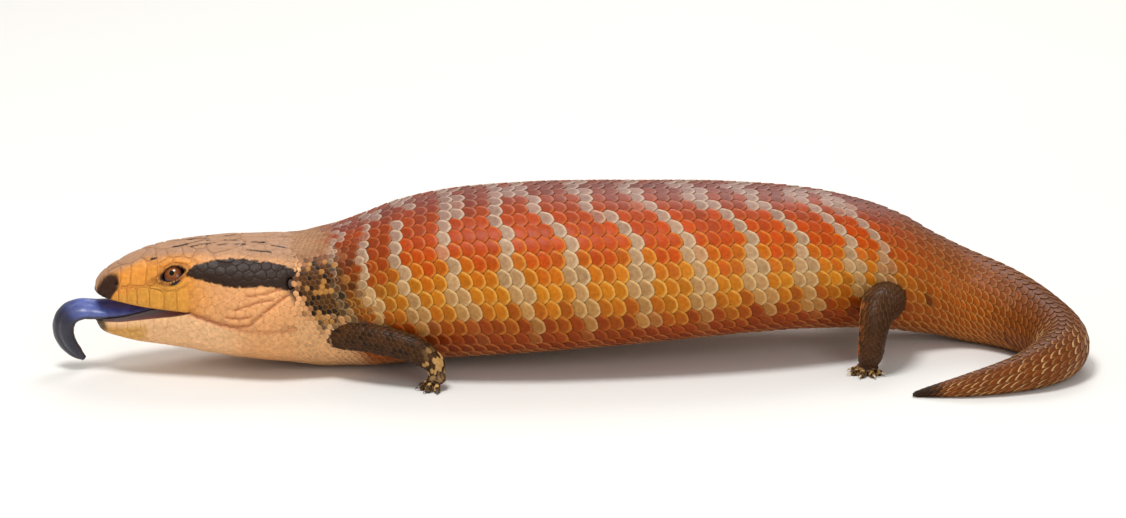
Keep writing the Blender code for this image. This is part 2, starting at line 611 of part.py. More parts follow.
# The tongue: along, height, half width, half thickness, and its roll in degrees, which lowers the left edge.
TONGUE_MM = (
    (24.0, 22.4, 4.6, 1.0, 5.0), (17.0, 21.9, 5.8, 1.4, 8.0), (10.0, 21.0, 6.0, 1.7, 13.0),
    (5.0, 20.5, 5.4, 2.0, 17.0), (0.0, 20.5, 4.9, 2.2, 20.0), (-4.5, 20.7, 4.8, 2.3, 24.0),
    (-8.3, 19.3, 4.8, 2.4, 30.0), (-10.3, 16.4, 4.8, 2.4, 36.0), (-10.6, 12.7, 4.6, 2.2, 41.0),
    (-9.2, 9.0, 4.0, 2.0, 44.0), (-6.6, 5.8, 2.9, 1.6, 46.0), (-4.0, 3.6, 1.1, 0.8, 46.0),
)


def tongue_node(material):
    """The tongue lies in the floor of the mouth, runs out over the chin and curls down to its tip."""
    rows = np.asarray(TONGUE_MM)
    path = place(rows[:, 0] * MM, 0.0, rows[:, 1] * MM)
    path, more = smooth_path(path, rows[:, 2:], 2)
    side = head_axes(0.0, True)[2]
    return loft("tongue", tube_rings(path, more[:, 0] * MM, more[:, 1] * MM, 14, side, more[:, 2]), material)


# Each leg: places down its middle as along, across (positive is left) and height, and its radius there. The
# leg's node ends at the last place but one, and the last is the wrist or ankle, in the foot's node.
LEGS_MM = {
    "foreleg_left": ((76.0, 10.0, 14.5, 4.4), (79.0, 20.2, 14.8, 4.8), (87.1, 26.6, 15.4, 4.9),
                     (96.5, 31.5, 14.4, 4.8), (103.0, 34.3, 12.7, 4.5), (108.4, 36.3, 9.2, 3.8)),
    "foreleg_right": ((80.0, -12.0, 16.0, 4.6), (80.0, -24.0, 16.4, 5.0), (80.5, -35.0, 16.0, 4.7),
                      (73.0, -42.0, 11.0, 4.2), (67.4, -46.0, 6.8, 3.5)),
    "hindleg_left": ((265.0, 8.0, 18.6, 6.6), (262.2, 20.0, 19.8, 7.0), (259.0, 28.6, 20.8, 6.9),
                     (256.2, 34.4, 20.9, 6.5), (254.2, 38.2, 17.8, 5.7), (253.3, 39.5, 13.6, 5.0),
                     (252.8, 39.8, 10.4, 4.8), (252.5, 39.6, 7.0, 4.6)),
    "hindleg_right": ((266.0, -8.0, 19.0, 6.6), (264.0, -20.0, 20.4, 7.0), (261.0, -30.0, 21.2, 6.6),
                      (260.2, -36.4, 19.4, 5.8), (262.0, -40.6, 14.8, 5.0), (264.4, -43.0, 11.0, 4.5),
                      (266.2, -44.8, 7.4, 4.0)),
}

# Each foot: the leg it ends, the middle of its palm, how wide it is, the way its middle toe points (degrees
# from straight ahead, positive to the animal's left), the toes' spread in degrees, and their lengths.
FEET_MM = {
    "forefoot_left": ("foreleg_left", (109.6, 37.4, 5.0), 3.3, 4.0, 160.0, (1.4, 1.9, 2.2, 1.9, 1.4)),
    "forefoot_right": ("foreleg_right", (63.8, -48.8, 3.2), 3.8, -28.0, 130.0, (1.4, 2.2, 2.6, 2.3, 1.4)),
    "hindfoot_left": ("hindleg_left", (251.8, 38.6, 3.2), 3.9, 58.0, 165.0, (1.2, 1.7, 2.1, 2.0, 1.3)),
    "hindfoot_right": ("hindleg_right", (267.0, -46.5, 3.2), 3.9, -45.0, 140.0, (1.4, 2.2, 2.9, 3.0, 1.7)),
}
TOE_RADIUS, CLAW_LENGTH = 1.1 * MM, 1.9 * MM


LEG_SIDES, LEG_STEPS = 12, 3


def leg_and_foot_rings(foot):
    """Rings from the shoulder or hip down to the palm, as two runs that meet across a gap at the wrist or ankle."""
    leg, palm, *_ = FEET_MM[foot]
    rows = np.vstack([LEGS_MM[leg], [*palm, LEGS_MM[leg][-1][3] * 0.72]])
    joints = place(rows[:, 0] * MM, rows[:, 1] * MM, rows[:, 2] * MM)
    path, radii = smooth_path(joints, rows[:, 3] * MM, LEG_STEPS)
    radii = radii[:, 0]
    rings = np.array(tube_rings(path, radii, radii * 0.94, LEG_SIDES, (0.0, 0.0, 1.0)))
    last = LEG_STEPS * (len(LEGS_MM[leg]) - 2)
    onward = path[last + 1] - path[last]
    parted = rings[last] + onward / np.linalg.norm(onward) * GAP
    return rings[:last + 1], np.vstack([parted[None], rings[last + 1:]])


def toe(name, root, way, length):
    """A toe from inside the palm out to its tip, bent down to the floor, with its curved claw."""
    drop = TOE_RADIUS * 0.7
    reaches = [0.0, 0.5 * length, length, length + 0.4 * CLAW_LENGTH, length + CLAW_LENGTH]
    heights = [root[2], 0.45 * root[2] + 0.55 * drop, drop, drop * 0.9, 0.4 * MM]
    radii = np.array([1.0, 1.05, 0.9, 0.45, 0.1]) * TOE_RADIUS
    path = [np.array([*(root + way * r)[:2], h]) for r, h in zip(reaches, heights)]
    return loft(name, tube_rings(path, radii, radii, 7, (0.0, 0.0, 1.0)))


def foot_node(name, materials):
    """A flat palm and five toes, joined, with the soles cut level with the floor."""
    _, palm_mm, half_width, heading, spread, lengths = FEET_MM[name]
    foot = loft(name, leg_and_foot_rings(name)[1], materials["foot"])
    palm = place(*(np.array(palm_mm) * MM))
    _, back, left = spine_at(palm_mm[0] * MM)
    pieces = [ball("palm", palm - (0.0, 0.0, 1.2 * MM), (half_width * MM, half_width * MM, 2.2 * MM), 6, 12)]
    for i, length in enumerate(lengths):
        turn = math.radians(heading + spread * (0.5 - i / (len(lengths) - 1)))
        way = np.array([*(-back * math.cos(turn) + left * math.sin(turn)), 0.0])
        root = palm + way * half_width * 0.55 * MM
        root[2] = palm[2] - (2.0 - 0.13 * ((2 * i) % 5)) * MM
        pieces.append(toe("toe", root, way, (length + half_width * 0.45) * MM))
    apply_boolean(foot, gather("toes", pieces), "UNION")
    apply_boolean(foot, floor_block(), "DIFFERENCE")
    return foot


def leg_node(foot, materials):
    """A leg cut off square to the body's own surface, with the gap between them."""
    name = FEET_MM[foot][0]
    leg = loft(name, leg_and_foot_rings(foot)[0], materials["leg"])
    along = LEGS_MM[name][0][0]
    cutter = body_length("cutter", (along - 30) * MM, (along + 34) * MM, 5 * MM, 36, None, GAP)
    apply_boolean(leg, cutter, "DIFFERENCE")
    return leg


def build():
    for old in list(bpy.data.objects):
        bpy.data.objects.remove(old)
    materials = make_materials()
    head = head_node(materials["head"])
    finish_head(head)
    jaw = jaw_node(materials["jaw"])
    apply_boolean(jaw, gather("lips", jaw_shields()), "UNION")
    eyes_and_eardrums(materials)
    tongue_node(materials["tongue"])
    half = GAP / 2
    tail_tip = SPINE_LENGTHS[-1]
    for name, start, end, spacing, sides, material in (
        ("neck", HEAD_END, NECK_END, 5, 30, "body"),
        ("chest", NECK_END, CHEST_END, 7, 36, "body"),
        ("belly", CHEST_END, BELLY_END, 8, 36, "body"),
        ("hips", BELLY_END, HIP_END, 7, 36, "body"),
        ("tail_root", HIP_END, TAIL_ROOT_END, 5.5, 26, "tail"),
        ("tail_bend", TAIL_ROOT_END, TAIL_BEND_END, 4, 24, "tail"),
        ("tail_tip", TAIL_BEND_END, tail_tip, 4, 18, "tail"),
    ):
        last = end if name == "tail_tip" else end - half
        body_length(name, start + half, last, spacing * MM, sides, materials[material])
    for foot in FEET_MM:
        leg_node(foot, materials)
        foot_node(foot, materials)


build()
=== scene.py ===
"""The looks of the Centralian blue-tongued skink: one skin, scales and shields, eyes, tongue and claws.

Metres, +Z up. The animal faces -X, its left side is towards -Y, and the floor is z = 0. Sheets turn a place,
along the spine from the snout and across from -1 to 1 (the animal's left edge), into a point.
Colours are given as 0-255 values as seen, and turned into the renderer's own.
"""

import math

import bmesh
import bpy
import numpy as np
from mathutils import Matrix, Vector
from mathutils.bvhtree import BVHTree
from mathutils.kdtree import KDTree


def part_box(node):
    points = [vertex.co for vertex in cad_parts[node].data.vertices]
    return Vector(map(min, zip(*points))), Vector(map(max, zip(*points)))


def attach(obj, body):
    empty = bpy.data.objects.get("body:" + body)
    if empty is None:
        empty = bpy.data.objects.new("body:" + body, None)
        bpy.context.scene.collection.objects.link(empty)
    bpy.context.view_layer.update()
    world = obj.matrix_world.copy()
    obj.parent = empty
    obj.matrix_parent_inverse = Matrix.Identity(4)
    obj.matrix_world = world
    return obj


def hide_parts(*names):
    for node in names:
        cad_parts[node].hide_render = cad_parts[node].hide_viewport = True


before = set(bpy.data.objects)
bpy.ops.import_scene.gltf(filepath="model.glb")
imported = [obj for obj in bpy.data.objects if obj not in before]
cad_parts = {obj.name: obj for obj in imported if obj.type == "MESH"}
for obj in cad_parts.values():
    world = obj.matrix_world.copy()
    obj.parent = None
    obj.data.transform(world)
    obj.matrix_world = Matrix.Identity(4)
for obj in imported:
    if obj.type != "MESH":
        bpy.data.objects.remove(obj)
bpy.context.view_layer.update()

MM = 0.001
PI = math.pi

# The body's forms, as the solids have them, all in mm.
FOOTPRINT_CENTRE = (2.64 * MM, 7.65 * MM)
SPINE_PLAN_MM = (
    (-154.6, -20), (-120, -15.6), (-80, -10.4), (-40, -5.3), (0, -0.1), (40, 5.1),
    (80, 10.2), (108, 14), (127, 15.5), (140, 13), (151, 5.5), (159.5, -5),
    (164.5, -17), (163.5, -29), (156, -39), (145, -45.5), (133, -49.5), (122, -51),
    (111, -51.5),
)
MOUTH_CORNER = 31 * MM
HEAD_END = 66 * MM
TAIL_TIP = 408.3 * MM

# The body's sections: along, half width, height of the back, of the widest line and of the belly.
BODY_MM = (
    (31, 17.9, 42.7, 22.9, 6.9), (36.8, 19.3, 43.2, 20.9, 5.6), (42.2, 20.9, 43.4, 19.4, 4.8),
    (48, 22.3, 43.5, 18.6, 3.9), (55, 23.6, 43.5, 18.4, 2.9), (62, 24.2, 43.3, 18.6, 2),
    (68, 24, 43.4, 19, 1), (75, 23.8, 44.9, 19.4, -0.2), (81.5, 24.6, 46.4, 19.8, -0.3),
    (91.4, 27.4, 49.6, 21, -0.2), (101.4, 30.6, 53, 22.2, 1), (114.7, 34.2, 55.5, 23.4, 2.6),
    (128, 36.6, 56.7, 24, 3.3), (148, 38.6, 57.2, 24.4, 4.3), (168, 39, 56.9, 24.6, 5.4),
    (185, 38.6, 56.3, 25, 6.3), (202, 37.4, 55.8, 25.4, 7.2), (215.4, 35.8, 55, 25.8, 7.7),
    (229, 33.2, 53.9, 25.8, 7.8), (242.7, 29.8, 52, 25.4, 7.2), (256.4, 25.8, 48.6, 24.6, 6.2),
    (271.9, 20.6, 42.6, 21.6, 3.6), (282.3, 17.6, 36.2, 18.4, 2), (295.6, 15.2, 29.6, 14.6, -0.3),
    (309, 13.4, 25.6, 12.4, -0.4), (322, 11.6, 21.8, 10.6, -0.4), (336, 9.9, 18.6, 9.1, -0.4),
    (348, 8.7, 16.6, 8.1, -0.3), (360.6, 7.5, 14.4, 7.1, -0.3), (373, 5.8, 11.1, 5.5, -0.3),
    (386, 4.2, 8.1, 4, -0.2), (397, 2.6, 5, 2.5, -0.1), (404, 1.4, 2.8, 1.4, 0),
    (408.3, 0.25, 0.9, 0.5, 0.1),
)
# The upper jaw in front of the corner of the mouth: along, half width, height of the top and of the lip.
SNOUT_MM = (
    (0, 0.4, 28.4, 27.6), (0.6, 3.6, 30.4, 27.2), (1.6, 5.4, 32, 26.7), (3.4, 7.2, 33.8, 26.2),
    (8, 9.8, 36.6, 25.4), (14.3, 12.3, 39.5, 24.4), (20.8, 14.7, 41.3, 23.8), (25.6, 16.2, 42.1, 23.5),
    (31, 17.9, 42.7, 22.9),
)
# The lower jaw in front of the corner: along, half width, height of the lip and of the chin.
CHIN_MM = (
    (0.2, 0.4, 17.2, 16.4), (0.8, 2.8, 17.3, 14.9), (1.8, 4.6, 17.5, 13.7), (3.6, 6.5, 17.8, 12.6),
    (8, 9.2, 18.3, 11.2), (14.3, 11.8, 19.5, 9.6), (20.8, 14.3, 20.7, 8.6), (25.6, 15.9, 21.5, 7.8),
    (31, 17.9, 22.9, 6.9),
)
# How square the sections are: along, above the widest line and below it. 2 is an ellipse.
SQUARENESS_MM = (
    (0, 2.3, 2.2), (20, 2.6, 2.3), (60, 2.5, 2.3), (100, 2.2, 2.3), (130, 2.15, 2.3),
    (230, 2.1, 2.2), (300, 2.05, 2.1), (408.3, 2, 2),
)
# Swellings and hollows of the head: along, height, reach and how far they stand out.
HEAD_FORMS_MM = (
    ("brow", 26, 39.6, 5, 0.9), ("orbit", 25.6, 35.4, 5.5, -0.7), ("lore", 14, 32.5, 5, -0.6),
    ("jowl", 55, 21, 11, 1.4), ("temple", 42, 33, 9, 0.5),
)
EYE_ALONG, EYE_RADIUS = 25.2 * MM, 4.3 * MM

# The tongue: along, height, half width, half thickness, and its roll in degrees, which lowers the left edge.
TONGUE_MM = (
    (24, 22.4, 4.6, 1, 5), (17, 21.9, 5.8, 1.4, 8), (10, 21, 6, 1.7, 13),
    (5, 20.5, 5.4, 2, 17), (0, 20.5, 4.9, 2.2, 20), (-4.5, 20.7, 4.8, 2.3, 24),
    (-8.3, 19.3, 4.8, 2.4, 30), (-10.3, 16.4, 4.8, 2.4, 36), (-10.6, 12.7, 4.6, 2.2, 41),
    (-9.2, 9, 4, 2, 44), (-6.6, 5.8, 2.9, 1.6, 46), (-4, 3.6, 1.1, 0.8, 46),
)
# Each leg: places down its middle as along, across (positive is left) and height, and its radius there.
LEGS_MM = {
    "foreleg_left": ((76, 10, 14.5, 4.4), (79, 20.2, 14.8, 4.8), (87.1, 26.6, 15.4, 4.9),
                     (96.5, 31.5, 14.4, 4.8), (103, 34.3, 12.7, 4.5), (108.4, 36.3, 9.2, 3.8)),
    "foreleg_right": ((80, -12, 16, 4.6), (80, -24, 16.4, 5), (80.5, -35, 16, 4.7),
                      (73, -42, 11, 4.2), (67.4, -46, 6.8, 3.5)),
    "hindleg_left": ((265, 8, 18.6, 6.6), (262.2, 20, 19.8, 7), (259, 28.6, 20.8, 6.9),
                     (256.2, 34.4, 20.9, 6.5), (254.2, 38.2, 17.8, 5.7), (253.3, 39.5, 13.6, 5),
                     (252.8, 39.8, 10.4, 4.8), (252.5, 39.6, 7, 4.6)),
    "hindleg_right": ((266, -8, 19, 6.6), (264, -20, 20.4, 7), (261, -30, 21.2, 6.6),
                      (260.2, -36.4, 19.4, 5.8), (262, -40.6, 14.8, 5), (264.4, -43, 11, 4.5),
                      (266.2, -44.8, 7.4, 4)),
}
# Each foot: the leg it ends, the middle of its palm, how wide it is, the way its middle toe points (degrees
# from straight ahead, positive to the animal's left), the toes' spread in degrees, and their lengths.
FEET_MM = {
    "forefoot_left": ("foreleg_left", (109.6, 37.4, 5), 3.3, 4, 160, (1.4, 1.9, 2.2, 1.9, 1.4)),
    "forefoot_right": ("foreleg_right", (63.8, -48.8, 3.2), 3.8, -28, 130, (1.4, 2.2, 2.6, 2.3, 1.4)),
    "hindfoot_left": ("hindleg_left", (251.8, 38.6, 3.2), 3.9, 58, 165, (1.2, 1.7, 2.1, 2, 1.3)),
    "hindfoot_right": ("hindleg_right", (267, -46.5, 3.2), 3.9, -45, 140, (1.4, 2.2, 2.9, 3, 1.7)),
}
TOE_RADIUS, CLAW_LENGTH = 1.1 * MM, 1.9 * MM

# How far the skin lies inside the solids.
SKIN_DEPTH = 0.25 * MM


def smooth(table, column, at):
    """Reads one column of a table at the places `at`, on a monotone cubic through its rows."""
    rows = np.asarray(table, float)
    x, y = rows[:, 0] * MM, rows[:, column]
    step, slope = np.diff(x), np.diff(y) / np.diff(x)
    bend = np.zeros(len(x))
    turn = slope[1:] * slope[:-1] > 0
    left, right = 2 * step[1:] + step[:-1], step[1:] + 2 * step[:-1]
    with np.errstate(divide="ignore", invalid="ignore"):
        mean = (left + right) / (left / slope[:-1] + right / slope[1:])
    bend[1:-1] = np.where(turn, mean, 0.0)
    bend[0], bend[-1] = slope[0], slope[-1]
    at = np.clip(at, x[0], x[-1])
    i = np.clip(np.searchsorted(x, at) - 1, 0, len(x) - 2)
    t = (at - x[i]) / step[i]
    a, b = y[i], y[i + 1]
    da, db = bend[i] * step[i], bend[i + 1] * step[i]
    return a + t * (da + t * (3 * (b - a) - 2 * da - db + t * (2 * (a - b) + da + db)))


def curve_through(rows, steps):
    """A Catmull-Rom line through rows of numbers."""
    rows = np.asarray(rows, float)
    rows = np.vstack([2 * rows[0] - rows[1], rows, 2 * rows[-1] - rows[-2]])
    line = []
    for a, b, c, d in zip(rows, rows[1:], rows[2:], rows[3:]):
        for t in np.arange(steps) / steps:
            line.append(0.5 * (2 * b + (c - a) * t + (2 * a - 5 * b + 4 * c - d) * t**2
                               + (3 * b - a - 3 * c + d) * t**3))
    return np.array(line + [rows[-2]])


def unit(vectors):
    return vectors / np.maximum(np.linalg.norm(vectors, axis=-1, keepdims=True), 1e-12)


def ways_along(points):
    """How far along a line of points each of them is."""
    return np.concatenate([[0.0], np.cumsum(np.linalg.norm(np.diff(points, axis=0), axis=1))])


def read_line(at, places, values):
    """Rows of values, read between their places."""
    return np.stack([np.interp(at, places, column) for column in values.T], -1)


SPINE = curve_through(np.asarray(SPINE_PLAN_MM) * MM - np.asarray(FOOTPRINT_CENTRE), 20)
SPINE_LENGTHS = ways_along(SPINE)


def spine_at(along):
    """The point of the spine seen from above, and the directions backwards and to the left."""
    along = np.asarray(along, float)
    inside = np.clip(along, 0.0, SPINE_LENGTHS[-1])
    reach = 1.5 * MM
    ahead = np.minimum(inside + reach, SPINE_LENGTHS[-1])
    behind = np.maximum(inside - reach, 0.0)
    here, ahead, behind = (read_line(at, SPINE_LENGTHS, SPINE) for at in (inside, ahead, behind))
    back = unit(ahead - behind)
    left = np.stack([back[..., 1], -back[..., 0]], -1)
    return here + back * (along - inside)[..., None], back, left


def place(along, across, height):
    """World points from places on the animal."""
    along, across, height = np.broadcast_arrays(*(np.asarray(v, float) for v in (along, across, height)))
    point, _, left = spine_at(along)
    return np.concatenate([point + left * across[..., None], height[..., None]], -1)


def rounded(table, column, base, at):
    """The distance from the widest line to a table's edge. Its square runs smoothly, so ends are round."""
    rows = np.asarray(table, float)
    gaps = np.column_stack([rows[:, 0], (rows[:, column] - (rows[:, base] if base else 0)) ** 2])
    return np.sqrt(np.maximum(smooth(gaps, 1, at), 0.0)) * MM


def sizes(along):
    """Half widths, rise, drop, upper edge and lower edge of the widest line, at places along the spine."""
    front = along < MOUTH_CORNER
    half = rounded(BODY_MM, 1, 0, along)
    rise, drop = rounded(BODY_MM, 2, 3, along), rounded(BODY_MM, 3, 4, along)
    upper = lower = smooth(BODY_MM, 3, along) * MM
    rise = np.where(front, rounded(SNOUT_MM, 2, 3, along), rise)
    drop = np.where(front, rounded(CHIN_MM, 2, 3, along), drop)
    upper = np.where(front, smooth(SNOUT_MM, 3, along) * MM, upper)
    lower = np.where(front, smooth(CHIN_MM, 2, along) * MM, lower)
    half_up = np.where(front, rounded(SNOUT_MM, 1, 0, along), half)
    half_low = np.where(front, rounded(CHIN_MM, 1, 0, along), half)
    return half_up, half_low, rise, drop, upper, lower


def surface(along, turn):
    """Points on the solids' surface. turn goes from the left side (0) over the back to the right side (pi)
    and on under the belly. Nothing reaches below the floor."""
    along, turn = np.broadcast_arrays(np.asarray(along, float), np.asarray(turn, float))
    half_up, half_low, rise, drop, upper, lower = sizes(along)
    over = np.sin(turn) >= 0
    square = np.where(over, smooth(SQUARENESS_MM, 1, along), smooth(SQUARENESS_MM, 2, along))
    c, s = np.cos(turn), np.sin(turn)
    side = np.sign(c) * np.abs(c) ** (2 / square)
    lift = np.sign(s) * np.abs(s) ** (2 / square)
    across = np.where(over, half_up, half_low) * side
    height = np.where(over, upper + rise * lift, lower + drop * lift)
    bulge = np.zeros_like(height)
    for _, at, level, reach, out in HEAD_FORMS_MM:
        away = ((along / MM - at) ** 2 + (height / MM - level) ** 2) / reach**2
        bulge += out * MM * np.exp(-away) * np.abs(side)
    return place(along, across + bulge * np.sign(side), np.maximum(height, 0.0))


def step(low, high, value):
    """A smooth step from 0 at low to 1 at high."""
    t = np.clip((np.asarray(value, float) - low) / (high - low), 0.0, 1.0)
    return t * t * (3 - 2 * t)


def chance(*numbers):
    """A repeatable draw from 0 to 1 for each set of numbers."""
    mixed = sum(np.asarray(n, float) * k for n, k in zip(numbers, (12.9898, 78.233, 37.719, 9.151)))
    return np.modf(np.abs(np.sin(mixed) * 43758.5453))[0]


def ripple(a, b, seed=0.0):
    """Smooth uneven variation from -1 to 1 over two coordinates, with features about 1 wide."""
    i, j = np.floor(a), np.floor(b)
    u, v = step(0, 1, a - i), step(0, 1, b - j)
    low = chance(i, j, seed) * (1 - u) + chance(i + 1, j, seed) * u
    high = chance(i, j + 1, seed) * (1 - u) + chance(i + 1, j + 1, seed) * u
    return (low * (1 - v) + high * v) * 2 - 1


class Sheet:
    """A stretch of surface as a fine grid of points, read at (along, across). across runs from -1 to 1."""

    def __init__(self, alongs, points, closed, press=None):
        """points is a grid, alongs by columns from -1 to 1 evenly spaced. press pushes points inwards."""
        self.alongs, self.points, self.closed = alongs, points, closed
        lengths = np.linalg.norm(np.diff(points, axis=1), axis=2).sum(1)
        self.halves = lengths / 2
        self.normals = self.directions_out()
        if press is not None:
            across = np.linspace(-1, 1, points.shape[1])
            grid = np.broadcast_arrays(alongs[:, None], across[None, :])
            half = np.broadcast_to(self.halves[:, None], grid[0].shape)
            depth = press(grid[0], grid[1] * half, half)
            self.points = points - self.normals * depth[..., None]
            self.normals = self.directions_out()

    def directions_out(self):
        down = np.gradient(self.points, axis=0)
        round_it = np.gradient(self.points, axis=1)
        if self.closed:
            ends = self.points[:, 1] - self.points[:, -2]
            round_it[:, 0] = round_it[:, -1] = ends
        out = unit(np.cross(down, round_it))
        middle = self.points.mean(1, keepdims=True)
        sign = np.sign(np.median(((self.points - middle) * out).sum(-1)))
        return out * sign

    def half(self, along):
        return np.interp(along, self.alongs, self.halves)

    def read(self, along, across, lift=0.0):
        """Points and the directions out of the surface there."""
        rows, columns = self.points.shape[:2]
        across = np.asarray(across, float)
        across = (across + 1) % 2 - 1 if self.closed else np.clip(across, -1, 1)
        i = np.interp(along, self.alongs, np.arange(rows))
        j = (across + 1) / 2 * (columns - 1)
        i0 = np.clip(i.astype(int), 0, rows - 2)
        j0 = np.clip(j.astype(int), 0, columns - 2)
        u, v = (i - i0)[..., None], (j - j0)[..., None]

        def between(grid):
            low = grid[i0, j0] * (1 - u) + grid[i0 + 1, j0] * u
            high = grid[i0, j0 + 1] * (1 - u) + grid[i0 + 1, j0 + 1] * u
            return low * (1 - v) + high * v

        points, out = between(self.points), unit(between(self.normals))
        return points + out * np.asarray(lift)[..., None], out


def even_round(along, turns, columns):
    """Points round one section, evenly spaced."""
    points = surface(np.full(len(turns), along), turns)
    ways = ways_along(points)
    return read_line(np.linspace(0.0, ways[-1], columns), ways, points)


def body_sheet(alongs, first_turn, last_turn, closed, press):
    """A sheet over part of the body. The turns run from its right edge (across -1) to its left edge (1)."""
    turns = np.linspace(first_turn, last_turn, 700)
    points = np.array([even_round(a, turns, SHEET_COLUMNS) for a in alongs])
    return Sheet(alongs, points, closed, press)


# Folds of the head, as lines of (along, around) in mm, where around is measured over the head from the middle
# of its top. Then how deep and how wide each kind of fold is.
MOUTH_FOLD_MM = (
    (29.8, 30.6), (35.2, 34), (40.5, 36.9), (45.8, 38.4), (49.5, 38.2), (54.5, 34.4), (61.8, 29.4),
)
BROW_FOLD_MM = ((16.5, 13.6), (19.5, 12.9), (25, 12.3), (30, 14.4))
CHEEK_FOLDS_MM = (
    ((45, 32.5), (52, 31), (57, 30.6)), ((49, 28.6), (55, 28.4), (59.5, 27)),
    ((42, 34.6), (46, 35.6), (50, 35.4)),
)
MOUTH_FOLD_SIZE_MM, BROW_FOLD_SIZE_MM, CHEEK_FOLD_SIZE_MM = (0.9, 0.65), (0.3, 1), (0.7, 0.55)
# The eye's opening is an almond, pressed in to its depth, with a lid that stands up round it and a fold
# outside the lid.
EYE_PLACE_MM, EYE_OPENING_MM, EYE_DEPTH_MM, ALMOND = (25.2, 16.1), (3.6, 2.15), 3, 1.6
LID_REACH, LID_WIDTH, LID_RISE_MM, LID_MIDDLE_RISE_MM, LID_MIDDLE_MM = 1.16, 0.26, 0.15, 0.75, 3.2
LID_FOLD_REACH, LID_FOLD_WIDTH, LID_FOLD_DEPTH_MM = 1.62, 0.1, 0.2
NOSTRIL_PLACE_MM, NOSTRIL_SIZE_MM, NOSTRIL_DEPTH_MM = (6.8, 10.1), (0.75, 0.6), 1.5
EAR_PLACE_MM, EAR_SIZE_MM, EAR_DEPTH_MM = (63.4, 25), (1.1, 2.1), 2.6
UNEVEN_MM, UNEVEN_LONG_MM, UNEVEN_WIDE_MM = 0.10, 5, 4


def far_from(line, a, b):
    """Distance in mm from points (a, b) to a line of points."""
    best = np.full(np.shape(a), 1e9)
    for (a0, b0), (a1, b1) in zip(line, line[1:]):
        da, db = a1 - a0, b1 - b0
        t = np.clip(((a - a0) * da + (b - b0) * db) / (da * da + db * db), 0, 1)
        best = np.minimum(best, np.hypot(a - a0 - t * da, b - b0 - t * db))
    return best


def hollow(centre, size, a, b):
    """1 inside an oval, falling to 0 just outside it."""
    r = np.hypot((a - centre[0]) / size[0], (b - centre[1]) / size[1])
    return 1 - step(0.82, 1.18, r)


def from_eye(a, b):
    """How far out from the middle of the eye a place is: 1 on the almond of the lids' edge."""
    u = np.abs(a - EYE_PLACE_MM[0]) / EYE_OPENING_MM[0]
    v = np.abs(b - EYE_PLACE_MM[1]) / EYE_OPENING_MM[1]
    return (u**ALMOND + v**ALMOND) ** (1 / ALMOND)


def bell(away, width):
    """1 at no distance, falling smoothly to nearly 0 at twice the width."""
    return np.exp(-((away / width) ** 2))


def press_head(along, around):
    """How deep the head is pressed in at its folds, eyes, nostrils and ears. around is from its top."""
    a, b = along / MM, np.abs(around) / MM
    depth = np.zeros(np.shape(a))
    folds = [(MOUTH_FOLD_MM, MOUTH_FOLD_SIZE_MM), (BROW_FOLD_MM, BROW_FOLD_SIZE_MM)]
    folds += [(fold, CHEEK_FOLD_SIZE_MM) for fold in CHEEK_FOLDS_MM]
    for fold, (deep, wide) in folds:
        depth += deep * bell(far_from(fold, a, b), wide)
    eye = from_eye(a, b)
    lid_rise = LID_RISE_MM + LID_MIDDLE_RISE_MM * bell(a - EYE_PLACE_MM[0], LID_MIDDLE_MM)
    depth += EYE_DEPTH_MM * (1 - step(0.9, 1.08, eye)) - lid_rise * bell(eye - LID_REACH, LID_WIDTH)
    depth += LID_FOLD_DEPTH_MM * bell(eye - LID_FOLD_REACH, LID_FOLD_WIDTH)
    depth += NOSTRIL_DEPTH_MM * hollow(NOSTRIL_PLACE_MM, NOSTRIL_SIZE_MM, a, b)
    depth += EAR_DEPTH_MM * hollow(EAR_PLACE_MM, EAR_SIZE_MM, a, b)
    depth += UNEVEN_MM * ripple(a / UNEVEN_LONG_MM, b / UNEVEN_WIDE_MM, 3.0)
    return depth * MM + SKIN_DEPTH


def press_jaw(along, around, half):
    """The same under the lip line, where around is measured from the middle of the chin."""
    top = UPPER.half(along) + half - np.abs(around)
    fade = step(MOUTH_CORNER - 2 * MM, MOUTH_CORNER, along)
    return press_head(along, top) * fade + SKIN_DEPTH * (1 - fade)


# Places along the head, close together at its tip, where it is round.
TIP_PLACES = np.array([0.02, 0.08, 0.18, 0.32, 0.5, 0.75, 1.05, 1.4, 1.8, 2.3, 2.8]) * MM
HEAD_PLACES = np.concatenate([TIP_PLACES, np.arange(3.4, 65.8, 0.5) * MM, [HEAD_END]])
TAIL_PLACES = np.arange(HEAD_END - 12 * MM, TAIL_TIP - 0.3 * MM, 1 * MM)
SHEET_COLUMNS = 301

UPPER = body_sheet(HEAD_PLACES, PI, 0, False, lambda along, around, half: press_head(along, around))
LOWER = body_sheet(HEAD_PLACES, -PI + 1e-6, -1e-6, False, press_jaw)
TRUNK = body_sheet(TAIL_PLACES, 1.5 * PI, -0.5 * PI, True,
                   lambda along, around, half: np.full(along.shape, SKIN_DEPTH))


def seen(*rgb):
    """The renderer's own colour for a colour as seen."""
    value = np.asarray(rgb, float) / 255
    return np.where(value <= 0.04045, value / 12.92, ((value + 0.055) / 1.055) ** 2.4)


def ramp(rows, at):
    """Colours along a ramp of (place, colour as seen)."""
    return read_line(at, [row[0] for row in rows], np.array([seen(*row[1]) for row in rows]))


def mixed(a, b, amount):
    """One colour mixed towards another."""
    return a + (b - a) * np.clip(np.asarray(amount, float), 0, 1)[..., None]


def all_over(colour, like):
    """One colour for every place of an array."""
    return np.broadcast_to(colour, np.shape(like) + (3,))


def stained(pair, amount, middle, rim_amount=None, rim=None):
    """A scale's two colours, of its middle and of its rim, each mixed towards another."""
    rim_amount = amount if rim_amount is None else rim_amount
    return mixed(pair[0], middle, amount), mixed(pair[1], middle if rim is None else rim, rim_amount)


def table_read(rows, at):
    return np.interp(at, [r[0] for r in rows], [r[1] for r in rows])


